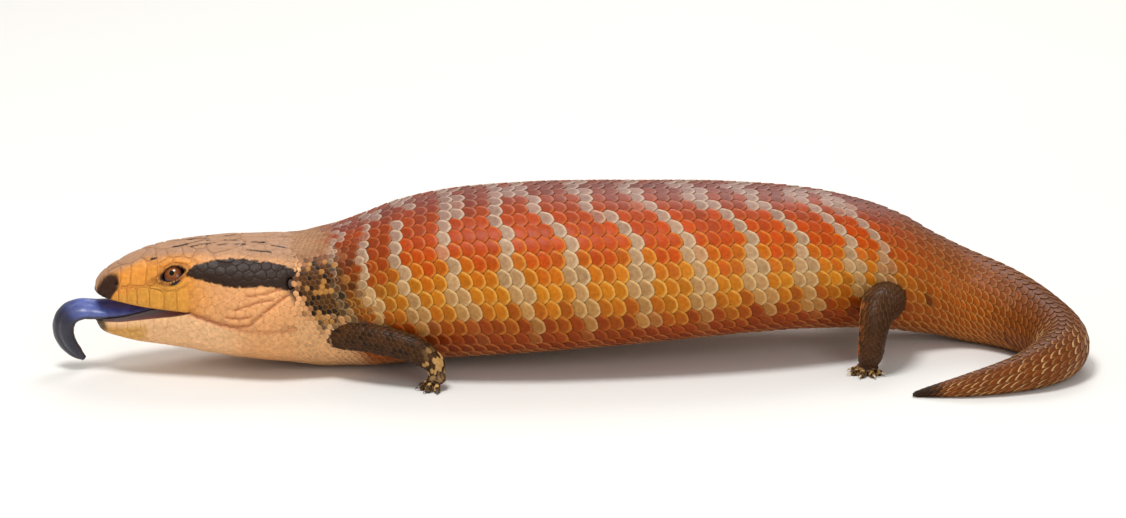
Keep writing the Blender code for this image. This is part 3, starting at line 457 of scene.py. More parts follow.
# Colours of the trunk from the middle of the back (0) to the middle of the belly (1). The darker rows low on
# the flank, about 0.6 to 0.75, are deep orange partly darkened as painted shade where the flank turns under.
BACK_TO_BELLY = (
    (0, (120, 66, 58)), (0.12, (134, 62, 46)), (0.2, (158, 64, 26)), (0.3, (186, 68, 6)),
    (0.38, (190, 74, 6)), (0.43, (194, 100, 12)), (0.49, (200, 122, 20)), (0.55, (188, 104, 14)),
    (0.61, (156, 66, 8)), (0.72, (138, 52, 4)), (0.84, (186, 102, 42)), (1, (222, 164, 112)),
)
BACK_TO_BELLY_RIMS = (
    (0, (148, 104, 92)), (0.12, (160, 98, 74)), (0.2, (184, 92, 48)), (0.32, (204, 98, 34)),
    (0.42, (222, 144, 54)), (0.5, (234, 174, 76)), (0.57, (212, 136, 48)), (0.66, (168, 74, 18)),
    (0.84, (210, 138, 78)), (1, (232, 190, 146)),
)
BAND = (
    (0, (150, 116, 106)), (0.2, (164, 130, 112)), (0.3, (176, 144, 114)), (0.42, (184, 144, 98)),
    (0.55, (184, 132, 68)), (0.66, (172, 92, 30)),
)
BAND_RIMS = ((0, (184, 156, 142)), (0.3, (216, 188, 154)), (0.5, (226, 186, 124)), (0.66, (190, 116, 52)))
TAIL_ROOT = (
    (0, (118, 66, 40)), (0.25, (146, 74, 24)), (0.45, (172, 84, 14)), (0.65, (176, 86, 14)),
    (1, (190, 118, 58)),
)
TAIL_ROOT_RIMS = ((0, (150, 102, 70)), (0.3, (186, 120, 58)), (0.5, (208, 138, 64)), (1, (214, 156, 92)))
TAIL_END = ((0, (104, 56, 26)), (0.5, (132, 66, 18)), (1, (146, 78, 30)))
TAIL_END_RIMS = ((0, (132, 84, 46)), (0.5, (156, 94, 40)), (1, (168, 108, 58)))
# The third colour here is painted shade: the dark of a small pit behind the hip.
CHARCOAL, FLECK, PIT_SHADE, NECK_RUST = seen(44, 30, 21), seen(224, 182, 122), seen(52, 24, 10), seen(104, 50, 18)
NAPE, NECK_DARK, NECK_BROWN = seen(178, 134, 98), seen(38, 26, 16), seen(82, 52, 26)
NECK_PALE, THROAT, THROAT_RIM = seen(184, 130, 66), seen(238, 178, 120), seen(246, 200, 148)

# Where each pale band crosses the flank, mm along, and how far the bands lean and how wide they are, in mm,
# from the back (0) to the belly (1). The first bands are narrower.
BANDS_MM = (77, 86.5, 98.5, 114, 133.5, 153.5, 174, 193.5, 213.5, 230.5, 248.5, 260)
FRONT_LEAN_MM = ((0, 4), (0.1, 2.5), (0.2, 0), (0.3, 0), (0.42, 1), (0.5, 4.5), (0.6, 10))
REAR_LEAN_MM = ((0, -17), (0.16, -12), (0.22, -6), (0.29, -0.5), (0.4, 1.5), (0.5, 2.5), (0.6, 5))
REAR_LEAN_FROM_MM = (118, 165)
BAND_HALF_WIDTH_MM = (
    (0, 3.4), (0.14, 3.2), (0.22, 2.4), (0.34, 2), (0.4, 3.4), (0.5, 3.8), (0.58, 2.6), (0.66, 0.6),
)
NARROW_BANDS_TO_MM, NARROW_BAND, SLIMMER_BANDS_TO_MM, SLIMMER_BAND = 90, 0.5, 120, 0.8
BANDS_LOW, BANDS_END_MM = (0.57, 0.65), (256, 272)
BAND_SHIFT_MM, BAND_SOFT_MM = 1.6, 0.25

# Where markings of the trunk and tail begin and end, each from a first to a last place: mm along, or level,
# which is 0 in the middle of the back and 1 in the middle of the belly.
RUST_END_MM, RUST_TOP, RUST_LOW = (80, 108), (0.1, 0.22), (0.48, 0.58)
TAIL_START_MM, TAIL_END_START_MM, TAIL_TIP_START_MM = (252, 284), (296, 332), (395, 402)
FLECKS_START_MM, FLECKS_END_MM, FLECKS_TOP = (334, 346), (394, 399), (0.12, 0.3)
# The middle and size of the pit's painted shade, in mm along and level.
PIT_SHADE_PLACE, PIT_SHADE_SIZE = (277, 0.555), (2.4, 0.03)
NAPE_END_MM, NAPE_LOW = (70, 82), (0.16, 0.3)
THROAT_TOP, THROAT_END_MM, THROAT_LEAN_MM = (0.46, 0.54), (76, 84), 30
MOTTLE_TOP, MOTTLE_LOW = (0.2, 0.26), (0.5, 0.58)
MOTTLE_START_MM, MOTTLE_END_MM, MOTTLE_LEAN_MM = (65.4, 67.6), (76, 87), 14
NEAR_BAND_MM, NEAR_BAND_DROP = (3.5, 9), 0.055


def band_strength(along_mm, across, draw):
    """How pale a scale is, 1 in a band, and how far it is from the nearest band in mm. The bands' edges are
    uneven from scale to scale, most of all over the back."""
    level = np.abs(across)
    strength = np.zeros(np.shape(along_mm))
    nearest = np.full(np.shape(along_mm), 99.0)
    for number, band in enumerate(BANDS_MM):
        rear = step(*REAR_LEAN_FROM_MM, band)
        lean = table_read(FRONT_LEAN_MM, level) * (1 - rear) + table_read(REAR_LEAN_MM, level) * rear
        side = np.where(across < 0, BAND_SHIFT_MM * (chance(number, 4.0) - 0.5) * 2, 0.0)
        away = np.abs(along_mm - band - lean - side)
        nearest = np.minimum(nearest, away)
        slim = 1.0
        if band < SLIMMER_BANDS_TO_MM:
            slim = NARROW_BAND if band < NARROW_BANDS_TO_MM else SLIMMER_BAND
        half = table_read(BAND_HALF_WIDTH_MM, level) * slim
        uneven = (draw - 0.5) * np.where(level < 0.2, 3.2, 1.2)
        edge = step(half - BAND_SOFT_MM, half + BAND_SOFT_MM, away + uneven)
        strength = np.maximum(strength, 1 - edge)
    low_edge = 1 - step(*BANDS_LOW, level + (draw - 0.5) * 0.06)
    rear_edge = 1 - step(*BANDS_END_MM, along_mm)
    return strength * low_edge * rear_edge, nearest


def trunk_marks(along, across, draw):
    """Colours of the middles and rims of scales on the neck, trunk and tail. The number after uneven is how
    far a marking's edge moves from scale to scale."""
    s, level, uneven = along / MM, np.abs(across), draw - 0.5
    pale, nearest = band_strength(s, across, draw)
    wave = ripple(s / 9, across * 14, 2.0) * 0.025 + NEAR_BAND_DROP * (1 - step(*NEAR_BAND_MM, nearest))
    pair = ramp(BACK_TO_BELLY, level + wave), ramp(BACK_TO_BELLY_RIMS, level + wave)
    rust = (1 - step(*RUST_END_MM, s + uneven * 6)) * step(*RUST_TOP, level) * (1 - step(*RUST_LOW, level))
    pair = stained(pair, rust * 0.8, NECK_RUST, rust * 0.5)
    pair = stained(pair, pale, ramp(BAND, level), rim=ramp(BAND_RIMS, level))
    tail = step(*TAIL_START_MM, s + uneven * 10)
    pair = stained(pair, tail, ramp(TAIL_ROOT, level), rim=ramp(TAIL_ROOT_RIMS, level))
    end = step(*TAIL_END_START_MM, s + uneven * 8)
    pair = stained(pair, end, ramp(TAIL_END, level), rim=ramp(TAIL_END_RIMS, level))
    fleck = step(*FLECKS_START_MM, s) * (0.2 + 0.8 * (chance(draw * 91.0, 3.0) > 0.45))
    fleck *= (1 - step(*FLECKS_END_MM, s)) * (0.3 + 0.7 * step(*FLECKS_TOP, level))
    pair = pair[0], mixed(pair[1], FLECK, fleck * 0.9)
    # Painted shade of a small pit behind the hip, on the middles and the rims.
    pit_shade = bell(s - PIT_SHADE_PLACE[0], PIT_SHADE_SIZE[0]) * bell(level - PIT_SHADE_PLACE[1], PIT_SHADE_SIZE[1])
    pair = stained(pair, pit_shade, PIT_SHADE, pit_shade * 0.8)
    tip = step(*TAIL_TIP_START_MM, s + uneven * 4)
    pair = stained(pair, tip, CHARCOAL, tip * 0.8)
    nape = (1 - step(*NAPE_END_MM, s + uneven * 5)) * (1 - step(*NAPE_LOW, level))
    pair = stained(pair, nape, NAPE)
    low = step(*THROAT_TOP, level + uneven * 0.05)
    low = low * (1 - step(*THROAT_END_MM, s - (level - 0.5) * THROAT_LEAN_MM))
    pair = stained(pair, low, THROAT, rim=THROAT_RIM)
    side = step(*MOTTLE_TOP, level + uneven * 0.06) * (1 - step(*MOTTLE_LOW, level + uneven * 0.08))
    ragged = ripple(level * 26, s / 3.5, 13.0) * 2.6 + uneven * 2.4 - (level - 0.3) * 10
    front = 1 - step(*MOTTLE_START_MM, s + ragged)
    rear = step(*MOTTLE_END_MM, s + uneven * 6 + (0.4 - level) * MOTTLE_LEAN_MM)
    dark = side * (1 - rear) * (1 - front)
    mottle = chance(draw * 57.0, 8.0)[..., None]
    spot = np.where(mottle > 0.8, NECK_PALE, np.where(mottle > 0.42, NECK_BROWN, NECK_DARK))
    pair = stained(pair, dark, spot, dark * 0.85, mixed(spot, NECK_PALE, 0.25))
    return stained(pair, side * front, CHEEK, side * front * 0.6, THROAT_RIM)


# Colours of the head.
HEAD_TOP, HEAD_OCHRE, CHEEK = seen(180, 138, 106), seen(230, 152, 64), seen(236, 172, 114)
SNOUT_DARK, STREAK, STREAK_RIM = seen(62, 36, 22), seen(46, 27, 13), seen(62, 42, 26)
EYE_RING, LID_EDGE, LID_OCHRE = seen(120, 62, 28), seen(50, 28, 17), seen(206, 140, 66)
LIP_YELLOW, JAW_CREAM, JAW_YELLOW, JAW_TIP = (
    seen(226, 162, 66), seen(252, 202, 150), seen(222, 164, 66), seen(58, 42, 28))
FOLD_PINK, SEAM = seen(184, 96, 56), seen(96, 56, 26)

# The black streak's upper and lower edges and the dark dashes on the head, as (along, around) in mm.
STREAK_TOP_MM = (
    (28.6, 16.4), (30.5, 15.6), (36.2, 14.2), (43.8, 14.2), (48, 14.6), (54.2, 16.6), (60.8, 18.4),
    (65.5, 20),
)
STREAK_LOW_MM = (
    (28.6, 17.4), (30.5, 18.6), (34.2, 20.8), (39.5, 23.2), (46, 25.4), (50.8, 25.4), (55.5, 26),
    (62.8, 27.4), (65.5, 27.6),
)
STREAK_START_MM, STREAK_SOFT_MM, DASH_EDGE_MM = (28.8, 29.8), (-0.25, 0.25), (0.25, 0.5)
DASHES_MM = (
    ((26, 3.7), (32, 2.3), (38, 0.9)), ((32, 5.6), (36, 4.9), (39.5, 4.3)),
    ((43.3, 2.3), (48, 3.8)), ((41.6, 6.4), (43, 6.6)), ((46.2, 6.9), (49.4, 6.7)),
    ((18.6, 8), (20.2, 8)), ((52, 5.4), (56, 6)), ((50, 10.6), (57.5, 12.2)),
    ((58, 8.2), (62.5, 9.8)),
)
# Where other markings of the head are, in mm along and around, as a first and a last place, or as a middle
# and a size.
OCHRE_END_MM, LIPS_TOP_MM, LIPS_END_MM, LIPS_SLOPE = (27, 42), (14.5, 17.5), (26, 33), 0.22
SMUDGE_PLACE_MM, SMUDGE_SIZE_MM = (19.6, 15.7), (2.2, 0.7)
SNOUT_PLACE_MM, SNOUT_SIZE_MM = (1.6, 9.4), (6.4, 5.4)
SEAMS_TOP_MM, SEAMS_END_MM = (9, 11.5), (23, 28)
BEHIND_EAR_MM, BEHIND_EAR_TOP_MM, BEHIND_EAR_LOW_MM = (61.5, 65), (17, 20), (29, 33)
MOUTH_PINK_MM, CHEEK_PINK_MM, JAW_PINK_MM = 0.55, 0.45, 0.7
THROAT_START_MM, JAW_YELLOW_END_MM, JAW_TIP_END_MM = (38, 52), (12, 20), (2.4, 4)


def head_marks(along, around, draw):
    """Colours of the middle and of the rim of the plates on the top and sides of the head."""
    s, r = along / MM, np.abs(around) / MM
    wave = ripple(s / 2.4, r / 2.0, 7.0)
    side = step(1.5 + 0.2 * s, 7.0 + 0.22 * s, r + wave * 0.8)
    cheek = mixed(all_over(CHEEK, s), HEAD_OCHRE, 1 - step(*OCHRE_END_MM, s + wave))
    ground = mixed(all_over(HEAD_TOP, s), cheek, side)
    lips = step(*LIPS_TOP_MM, r - (s - 12) * LIPS_SLOPE) * (1 - step(*LIPS_END_MM, s))
    ground = mixed(ground, LIP_YELLOW, lips * 0.8)
    eye = from_eye(s, r)
    smudge = bell(s - SMUDGE_PLACE_MM[0], SMUDGE_SIZE_MM[0]) * bell(r - SMUDGE_PLACE_MM[1], SMUDGE_SIZE_MM[1])
    ground = mixed(ground, EYE_RING, np.maximum((1 - step(1.5, 2.0, eye)) * 0.35, smudge * 0.75))
    ground = mixed(ground, LID_EDGE, 1 - step(1.14, 1.26, eye))
    from_snout = [(v - at) / size for v, at, size in zip((s, r), SNOUT_PLACE_MM, SNOUT_SIZE_MM)]
    ground = mixed(ground, SNOUT_DARK, 1 - step(0.88, 1.06, np.hypot(*from_snout) + wave * 0.05))
    ragged = ripple(s / 0.9, r / 0.8, 9.0) * 0.55
    streak = step(*STREAK_SOFT_MM, r + ragged - table_read(STREAK_TOP_MM, s))
    streak = streak * step(*STREAK_SOFT_MM, table_read(STREAK_LOW_MM, s) - r - ragged)
    streak = streak * step(*STREAK_START_MM, s + ragged)
    clear = step(*SEAMS_TOP_MM, r) * (1 - step(*SEAMS_END_MM, s))
    pair = ground, mixed(ground, SEAM, 0.06 + 0.75 * clear)
    pair = stained(pair, streak, STREAK, rim=STREAK_RIM)
    dash = np.zeros(s.shape)
    for line in DASHES_MM:
        dash = np.maximum(dash, 1 - step(*DASH_EDGE_MM, far_from(line, s, r) + ragged * 0.25))
    pair = stained(pair, dash, STREAK)
    fold = bell(far_from(MOUTH_FOLD_MM, s, r), MOUTH_PINK_MM)
    for line in CHEEK_FOLDS_MM:
        fold = np.maximum(fold, bell(far_from(line, s, r), CHEEK_PINK_MM))
    pair = stained(pair, fold * 0.5, FOLD_PINK, fold * 0.6)
    behind = step(*BEHIND_EAR_MM, s + wave * 1.5) * step(*BEHIND_EAR_TOP_MM, r)
    behind = behind * (1 - step(*BEHIND_EAR_LOW_MM, r + wave * 2)) * (0.55 + 0.45 * (draw > 0.4))
    return mixed(pair[0], NECK_DARK, behind), pair[1]


def jaw_marks(along, around, draw):
    """Colours of the lower jaw and throat, where around is measured from the middle of the chin."""
    s, r = along / MM, np.abs(around) / MM
    half = LOWER.half(along) / MM
    wave = ripple(s / 2.6, r / 2.2, 11.0)
    ground = mixed(all_over(JAW_CREAM, s), THROAT, step(*THROAT_START_MM, s))
    lip = half - r
    yellow = (1 - step(*JAW_YELLOW_END_MM, s + wave * 2)) * step(0.5, 3.0, lip)
    ground = mixed(ground, JAW_YELLOW, yellow * 0.75)
    ground = mixed(ground, JAW_TIP, (1 - step(*JAW_TIP_END_MM, s + wave * 0.6)) * 0.85)
    ground = mixed(ground, FOLD_PINK, (1 - step(0.3, 2.2, lip)) * step(28, 32, s) * 0.5)
    top = UPPER.half(along) / MM + half - r
    fold = bell(far_from(MOUTH_FOLD_MM, s, top), JAW_PINK_MM) * step(29, 31, s)
    ground = mixed(ground, FOLD_PINK, fold * 0.4)
    return ground, mixed(ground, SEAM, 0.06)


# The lowest that scales and skin reach, just over the floor.
LOWEST_SCALE, LOWEST_SKIN = 0.02 * MM, 0.05 * MM


class Coat:
    """Many small closed forms gathered into one mesh, with their colours and their places on the unwrap."""

    def __init__(self):
        self.points, self.faces, self.count = [], [], 0
        self.marks, self.rims, self.edge, self.spots = [], [], [], []

    def add(self, points, faces, marks, rims, edge, spots):
        """Adds n forms of k points, with faces in one form's own numbers and spots on the unwrap."""
        many, size = points.shape[:2]
        shift = self.count + np.arange(many)[:, None, None] * size
        self.points.append(points.reshape(-1, 3))
        self.faces.append((faces[None] + shift).reshape(-1, 3))
        self.marks.append(np.broadcast_to(marks, points.shape).reshape(-1, 3))
        self.rims.append(np.broadcast_to(rims, points.shape).reshape(-1, 3))
        self.edge.append(np.broadcast_to(edge, points.shape[:2]).reshape(-1))
        self.spots.append(np.broadcast_to(spots, (many, size, 2)).reshape(-1, 2))
        self.count += many * size

    def build(self, name, material):
        points, faces = np.concatenate(self.points), np.concatenate(self.faces)
        points[:, 2] = np.maximum(points[:, 2], LOWEST_SCALE)
        piece = triangle_piece(name, points, faces, material)
        mesh = piece.data
        paint(mesh, "marking", np.concatenate(self.marks))
        paint(mesh, "rim_marking", np.concatenate(self.rims))
        mesh.attributes.new("edge", "FLOAT", "POINT").data.foreach_set("value", np.concatenate(self.edge))
        spots = np.concatenate(self.spots)[faces.reshape(-1)]
        mesh.uv_layers.new(name="OFBake").data.foreach_set("uv", spots.astype(np.float32).reshape(-1))
        return piece


def new_piece(name, data):
    piece = bpy.data.objects.new(name, data)
    bpy.context.scene.collection.objects.link(piece)
    return piece


def triangle_piece(name, points, faces, material):
    mesh = bpy.data.meshes.new(name)
    mesh.vertices.add(len(points))
    mesh.vertices.foreach_set("co", np.asarray(points, np.float32).reshape(-1))
    mesh.loops.add(len(faces) * 3)
    mesh.loops.foreach_set("vertex_index", np.asarray(faces, np.int32).reshape(-1))
    mesh.polygons.add(len(faces))
    mesh.polygons.foreach_set("loop_start", np.arange(len(faces), dtype=np.int32) * 3)
    mesh.update(calc_edges=True)
    mesh.shade_smooth()
    mesh.materials.append(material)
    return new_piece(name, mesh)


def paint(mesh, name, colours):
    layer = mesh.color_attributes.new(name, "FLOAT_COLOR", "POINT")
    rgba = np.concatenate([colours, np.ones((len(colours), 1))], 1)
    layer.data.foreach_set("color", rgba.astype(np.float32).reshape(-1))


def ring_faces(sides, rings):
    """Triangles of a form whose points are its middle, then rings outwards and down to the closed root."""
    faces = []
    for i in range(sides):
        faces.append((0, 1 + i, 1 + (i + 1) % sides))
    for ring in range(rings - 1):
        a, b = 1 + ring * sides, 1 + (ring + 1) * sides
        for i in range(sides):
            after = (i + 1) % sides
            faces.append((a + i, b + i, b + after))
            faces.append((a + i, b + after, a + after))
    last = 1 + (rings - 1) * sides
    for i in range(1, sides - 1):
        faces.append((last, last + i + 1, last + i))
    return np.array(faces)


# The section of one scale from its middle outwards: shares of its reach and of its dome's height, and how
# much it counts as edge. The last row is its root, under the skin.
SCALE_SIDES = 16
SCALE_SECTION = ((0.6, 0.9, 0.6), (0.9, 0.55, 0.9), (1, 0, 1), (0.97, -2.4, 1))
# How far a scale reaches backwards, forwards and aslant, how square its corners are, and how much larger it
# is than its place, so that rows overlap.
QUARTER_TURNS = (0, 24, 36, 62)
REAR_REACH, FRONT_REACH, SLANT_REACH, CORNER_POWER = 0.6, 0.5, 0.555, 10
REAR_STRETCH, FRONT_STRETCH, OVERLAP = 1.06, 1.15, 1.1
LEAST_LIFT, UNWRAP_SIZE, TILT = 0.02 * MM, 0.0028, 0.062


def scale_outline():
    """A six-sided scale with round corners, in scale lengths and widths, pointing backwards."""
    quarter = np.array(QUARTER_TURNS)
    back = quarter[:0:-1]
    turns = np.radians(np.concatenate([quarter, [90.0], 180 - back, 180 + quarter, [270.0], 360 - back]))
    c, s = np.cos(turns), np.sin(turns)
    ends = c / np.where(c > 0, REAR_REACH, FRONT_REACH)
    slants = [(0.555 * c + way * 0.832 * s) / SLANT_REACH for way in (1, -1)]
    reach = sum(np.abs(edge) ** CORNER_POWER for edge in (ends, *slants)) ** (-1 / CORNER_POWER)
    a, b = reach * c, reach * s
    return np.where(a > 0, a * REAR_STRETCH, a * FRONT_STRETCH), b


def lay_scales(coat, sheet, along, across, long, wide, lean, dome, colours, unwrap, tilt=TILT, ticks=False):
    """Lays scales on a sheet, each long and wide in metres, leaning backwards away from the middle of the
    back. Their rear edges stand up and their front edges are sunk. colours are those of their middles and
    rims. With ticks, only the middle of the rear edge has the rim's colour."""
    a, b = scale_outline()
    shares, heights, edge = np.vstack([(0.0, 1.0, 0.0), np.repeat(SCALE_SECTION, SCALE_SIDES, 0)]).T
    a = np.concatenate([[0.0], np.tile(a, len(SCALE_SECTION))]) * shares * OVERLAP
    b = np.concatenate([[0.0], np.tile(b, len(SCALE_SECTION))]) * shares * OVERLAP
    long, wide, lean, dome = (np.broadcast_to(v, along.shape)[:, None] for v in (long, wide, lean, dome))
    down = np.where(across < 0, -1.0, 1.0)[:, None] * b[None] * wide
    s = along[:, None] + a[None] * long + lean * b[None] * wide
    x = across[:, None] + down / sheet.half(along)[:, None]
    lift = dome * heights[None] + tilt * long * (a[None] * 2) + LEAST_LIFT
    points, _ = sheet.read(s, x, lift)
    spots = np.stack([np.broadcast_to(v * UNWRAP_SIZE, s.shape) for v in (a, b)], -1)
    spots = spots + np.stack(unwrap(along, across), -1)[:, None, :]
    faces = ring_faces(SCALE_SIDES, len(SCALE_SECTION))
    rear = (0.25 + 0.75 * step(-0.25, 0.2, a)) * ((1 - step(0.26, 0.5, np.abs(b))) if ticks else 1.0)
    rear = rear[None, :, None]
    marks, rims = (colour[:, None] for colour in colours)
    rims = marks * 0.92 * (1 - rear) + rims * rear
    faces_out(coat, points, faces, marks, rims, edge, spots, sheet, along, across)


def faces_out(coat, points, faces, marks, rims, edge, spots, sheet, along, across):
    """Adds forms to a coat, turning those whose faces would point inwards."""
    _, out = sheet.read(along, across)
    first = points[:, faces[0]]
    facing = (np.cross(first[:, 1] - first[:, 0], first[:, 2] - first[:, 0]) * out).sum(-1) > 0
    shape = points.shape
    marks, rims = np.broadcast_to(marks, shape), np.broadcast_to(rims, shape)
    for chosen, order in ((facing, faces), (~facing, faces[:, ::-1])):
        if chosen.any():
            coat.add(points[chosen], order, marks[chosen], rims[chosen], edge, spots[chosen])


def body_unwrap(along, across):
    return 0.02 + 0.96 * along / TAIL_TIP, 0.5 + 0.48 * across


# Scale lengths along the body, mm, and how many scales a row falls back on its way down to the belly.
SCALE_LENGTHS = (
    (50, 1.4), (66, 1.5), (76, 1.8), (83, 2.9), (92, 3.5), (100, 3.8), (120, 4.15),
    (150, 4.3), (225, 4.3), (250, 4.1), (270, 3.9), (300, 3.5), (330, 3.2), (362, 3.1),
    (390, 2.6), (408, 1.6),
)
LEAN_CELLS = 6.5
# Lengths are added up along the body in small steps, mm.
COUNT_STEP_MM, COUNT_END_MM = 0.25, 409


def lattice(start, end, rows, lean_cells=LEAN_CELLS, lengths=SCALE_LENGTHS):
    """Places of scales in lengthwise rows, each half a scale on from the next, that lean towards the tail."""
    fine = np.arange(0.0, COUNT_END_MM, COUNT_STEP_MM)
    cells = np.concatenate([[0.0], np.cumsum(COUNT_STEP_MM / table_read(lengths, fine))])[:-1]
    low, high = np.interp([start, end], fine, cells)
    found = []
    for row in range(-rows // 2 + 1, rows // 2 + 1):
        across = 2 * row / rows
        shift = 0.5 * (row % 2) + lean_cells * abs(across)
        numbers = np.arange(math.floor(low - shift), math.ceil(high - shift) + 1)
        spots = numbers + shift
        spots = spots[(spots >= low) & (spots <= high)]
        found += [(np.interp(p, cells, fine) * MM, across) for p in spots]
    along, across = np.array(found).T
    long = table_read(lengths, along / MM) * MM
    return along, across, long


def draws(along, across, seed=0.0):
    """A repeatable draw from 0 to 1 for each scale, from its place."""
    return chance(along / MM * 1.7, across * 31.0, seed)


SEARCH_REACH = 50 * MM


def away_from(tree, points, margin):
    """Which points are outside a closed form by at least a margin (which may be negative)."""
    keep = np.ones(len(points), bool)
    for i, point in enumerate(points):
        spot, out, _, _ = tree.find_nearest(Vector(point), SEARCH_REACH)
        if spot is not None:
            keep[i] = (Vector(point) - spot).dot(out) > margin
    return keep


# Lengths of the body that are each one coat piece: name, start and end in mm, rows of scales around.
COAT_LENGTHS = (
    ("scales_nape", 67, 78, 88), ("scales_collar", 78, 88, 58), ("scales_neck", 88, 104, 38),
    ("scales_chest", 104, 150, 38), ("scales_belly", 150, 208, 38), ("scales_hips", 208, 263, 38),
    ("scales_tail_root", 263, 318, 30), ("scales_tail_bend", 318, 372, 22),
    ("scales_tail_tip", 372, 405, 14),
)
# Each length starts a little early, and a scale there stays only if it is far enough from those before.
EARLY_MM, MEETING_MM, LEAST_APART = 2.6, 3, 0.42
LEG_MARGIN, THROAT_LEG_MARGIN = -0.6 * MM, -0.4 * MM
# The throat's small scales: where they start and end, rows, lean, how far up they reach and their lengths.
# The larger scales stop at their upper edge.
COLLAR_START, NECK_START, THROAT_SCALES_MM, THROAT_ROWS, THROAT_LEAN_CELLS = 78, 88, (77, 92), 66, 3
THROAT_FROM, COLLAR_STOPS, COLLAR_STOPS_TO = 0.445, 0.47, 90 * MM
FINE_THROAT_LENGTHS = ((50, 1.9), (100, 2.2))
THROAT_LEAN, THROAT_DOME, THROAT_TILT = 0.4, 0.1 * MM, 0.05
# The height of a scale of a usual length, its fall for shorter ones, and where the tail's ticks start.
DOME, USUAL_LENGTH, DOME_POWER, TICKS_START = 0.22 * MM, 4.2 * MM, 0.8, 318


def body_scales(material, leg_tree):
    """The scales of the nape, trunk and tail, one piece for each length of the body."""
    laid = np.zeros((0, 2))
    for name, start, end, rows in COAT_LENGTHS:
        coat = Coat()
        along, across, long = lattice(start - EARLY_MM, end, rows)
        wide = 2 * TRUNK.half(along) / rows
        spots = np.column_stack([along, across * TRUNK.half(along)])
        keep = away_from(leg_tree, TRUNK.read(along, across)[0], LEG_MARGIN)
        for i in np.flatnonzero(keep & (along < (start + MEETING_MM) * MM)):
            if len(laid) and np.hypot(*((laid - spots[i]) / (long[i], wide[i])).T).min() < LEAST_APART:
                keep[i] = False
        if start in (COLLAR_START, NECK_START):
            keep &= ~((np.abs(across) > COLLAR_STOPS) & (along < COLLAR_STOPS_TO))
        along, across, long, wide, laid = along[keep], across[keep], long[keep], wide[keep], spots[keep]
        draw = draws(along, across)
        marks, rims = trunk_marks(along, across, draw)
        marks = marks * (0.86 + 0.26 * chance(draw * 13.0, 5.0))[:, None]
        lean = np.where(np.abs(across) > 0.01, LEAN_CELLS * long / TRUNK.half(along), 0.0)
        dome = DOME * (long / USUAL_LENGTH) ** DOME_POWER
        lay_scales(coat, TRUNK, along, across, long, wide, lean, dome, (marks, rims), body_unwrap,
                   ticks=start >= TICKS_START)
        if start == COLLAR_START:
            fine_throat(coat, leg_tree)
        finish_piece(coat.build(name, material))


def fine_throat(coat, leg_tree):
    """Small scales in slanting rows under the neck and over the shoulder's front."""
    along, across, long = lattice(*THROAT_SCALES_MM, THROAT_ROWS, THROAT_LEAN_CELLS, FINE_THROAT_LENGTHS)
    keep = np.abs(across) > THROAT_FROM
    keep &= away_from(leg_tree, TRUNK.read(along, across)[0], THROAT_LEG_MARGIN)
    along, across, long = along[keep], across[keep], long[keep]
    colours = trunk_marks(along, across, draws(along, across, 2.0))
    wide = 2 * TRUNK.half(along) / THROAT_ROWS
    lay_scales(coat, TRUNK, along, across, long, wide, THROAT_LEAN, THROAT_DOME, colours, body_unwrap,
               THROAT_TILT)


def finish_piece(piece):
    """Every piece rides on the one body. Its one slot is given where it is built."""
    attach(piece, "root")
    return piece


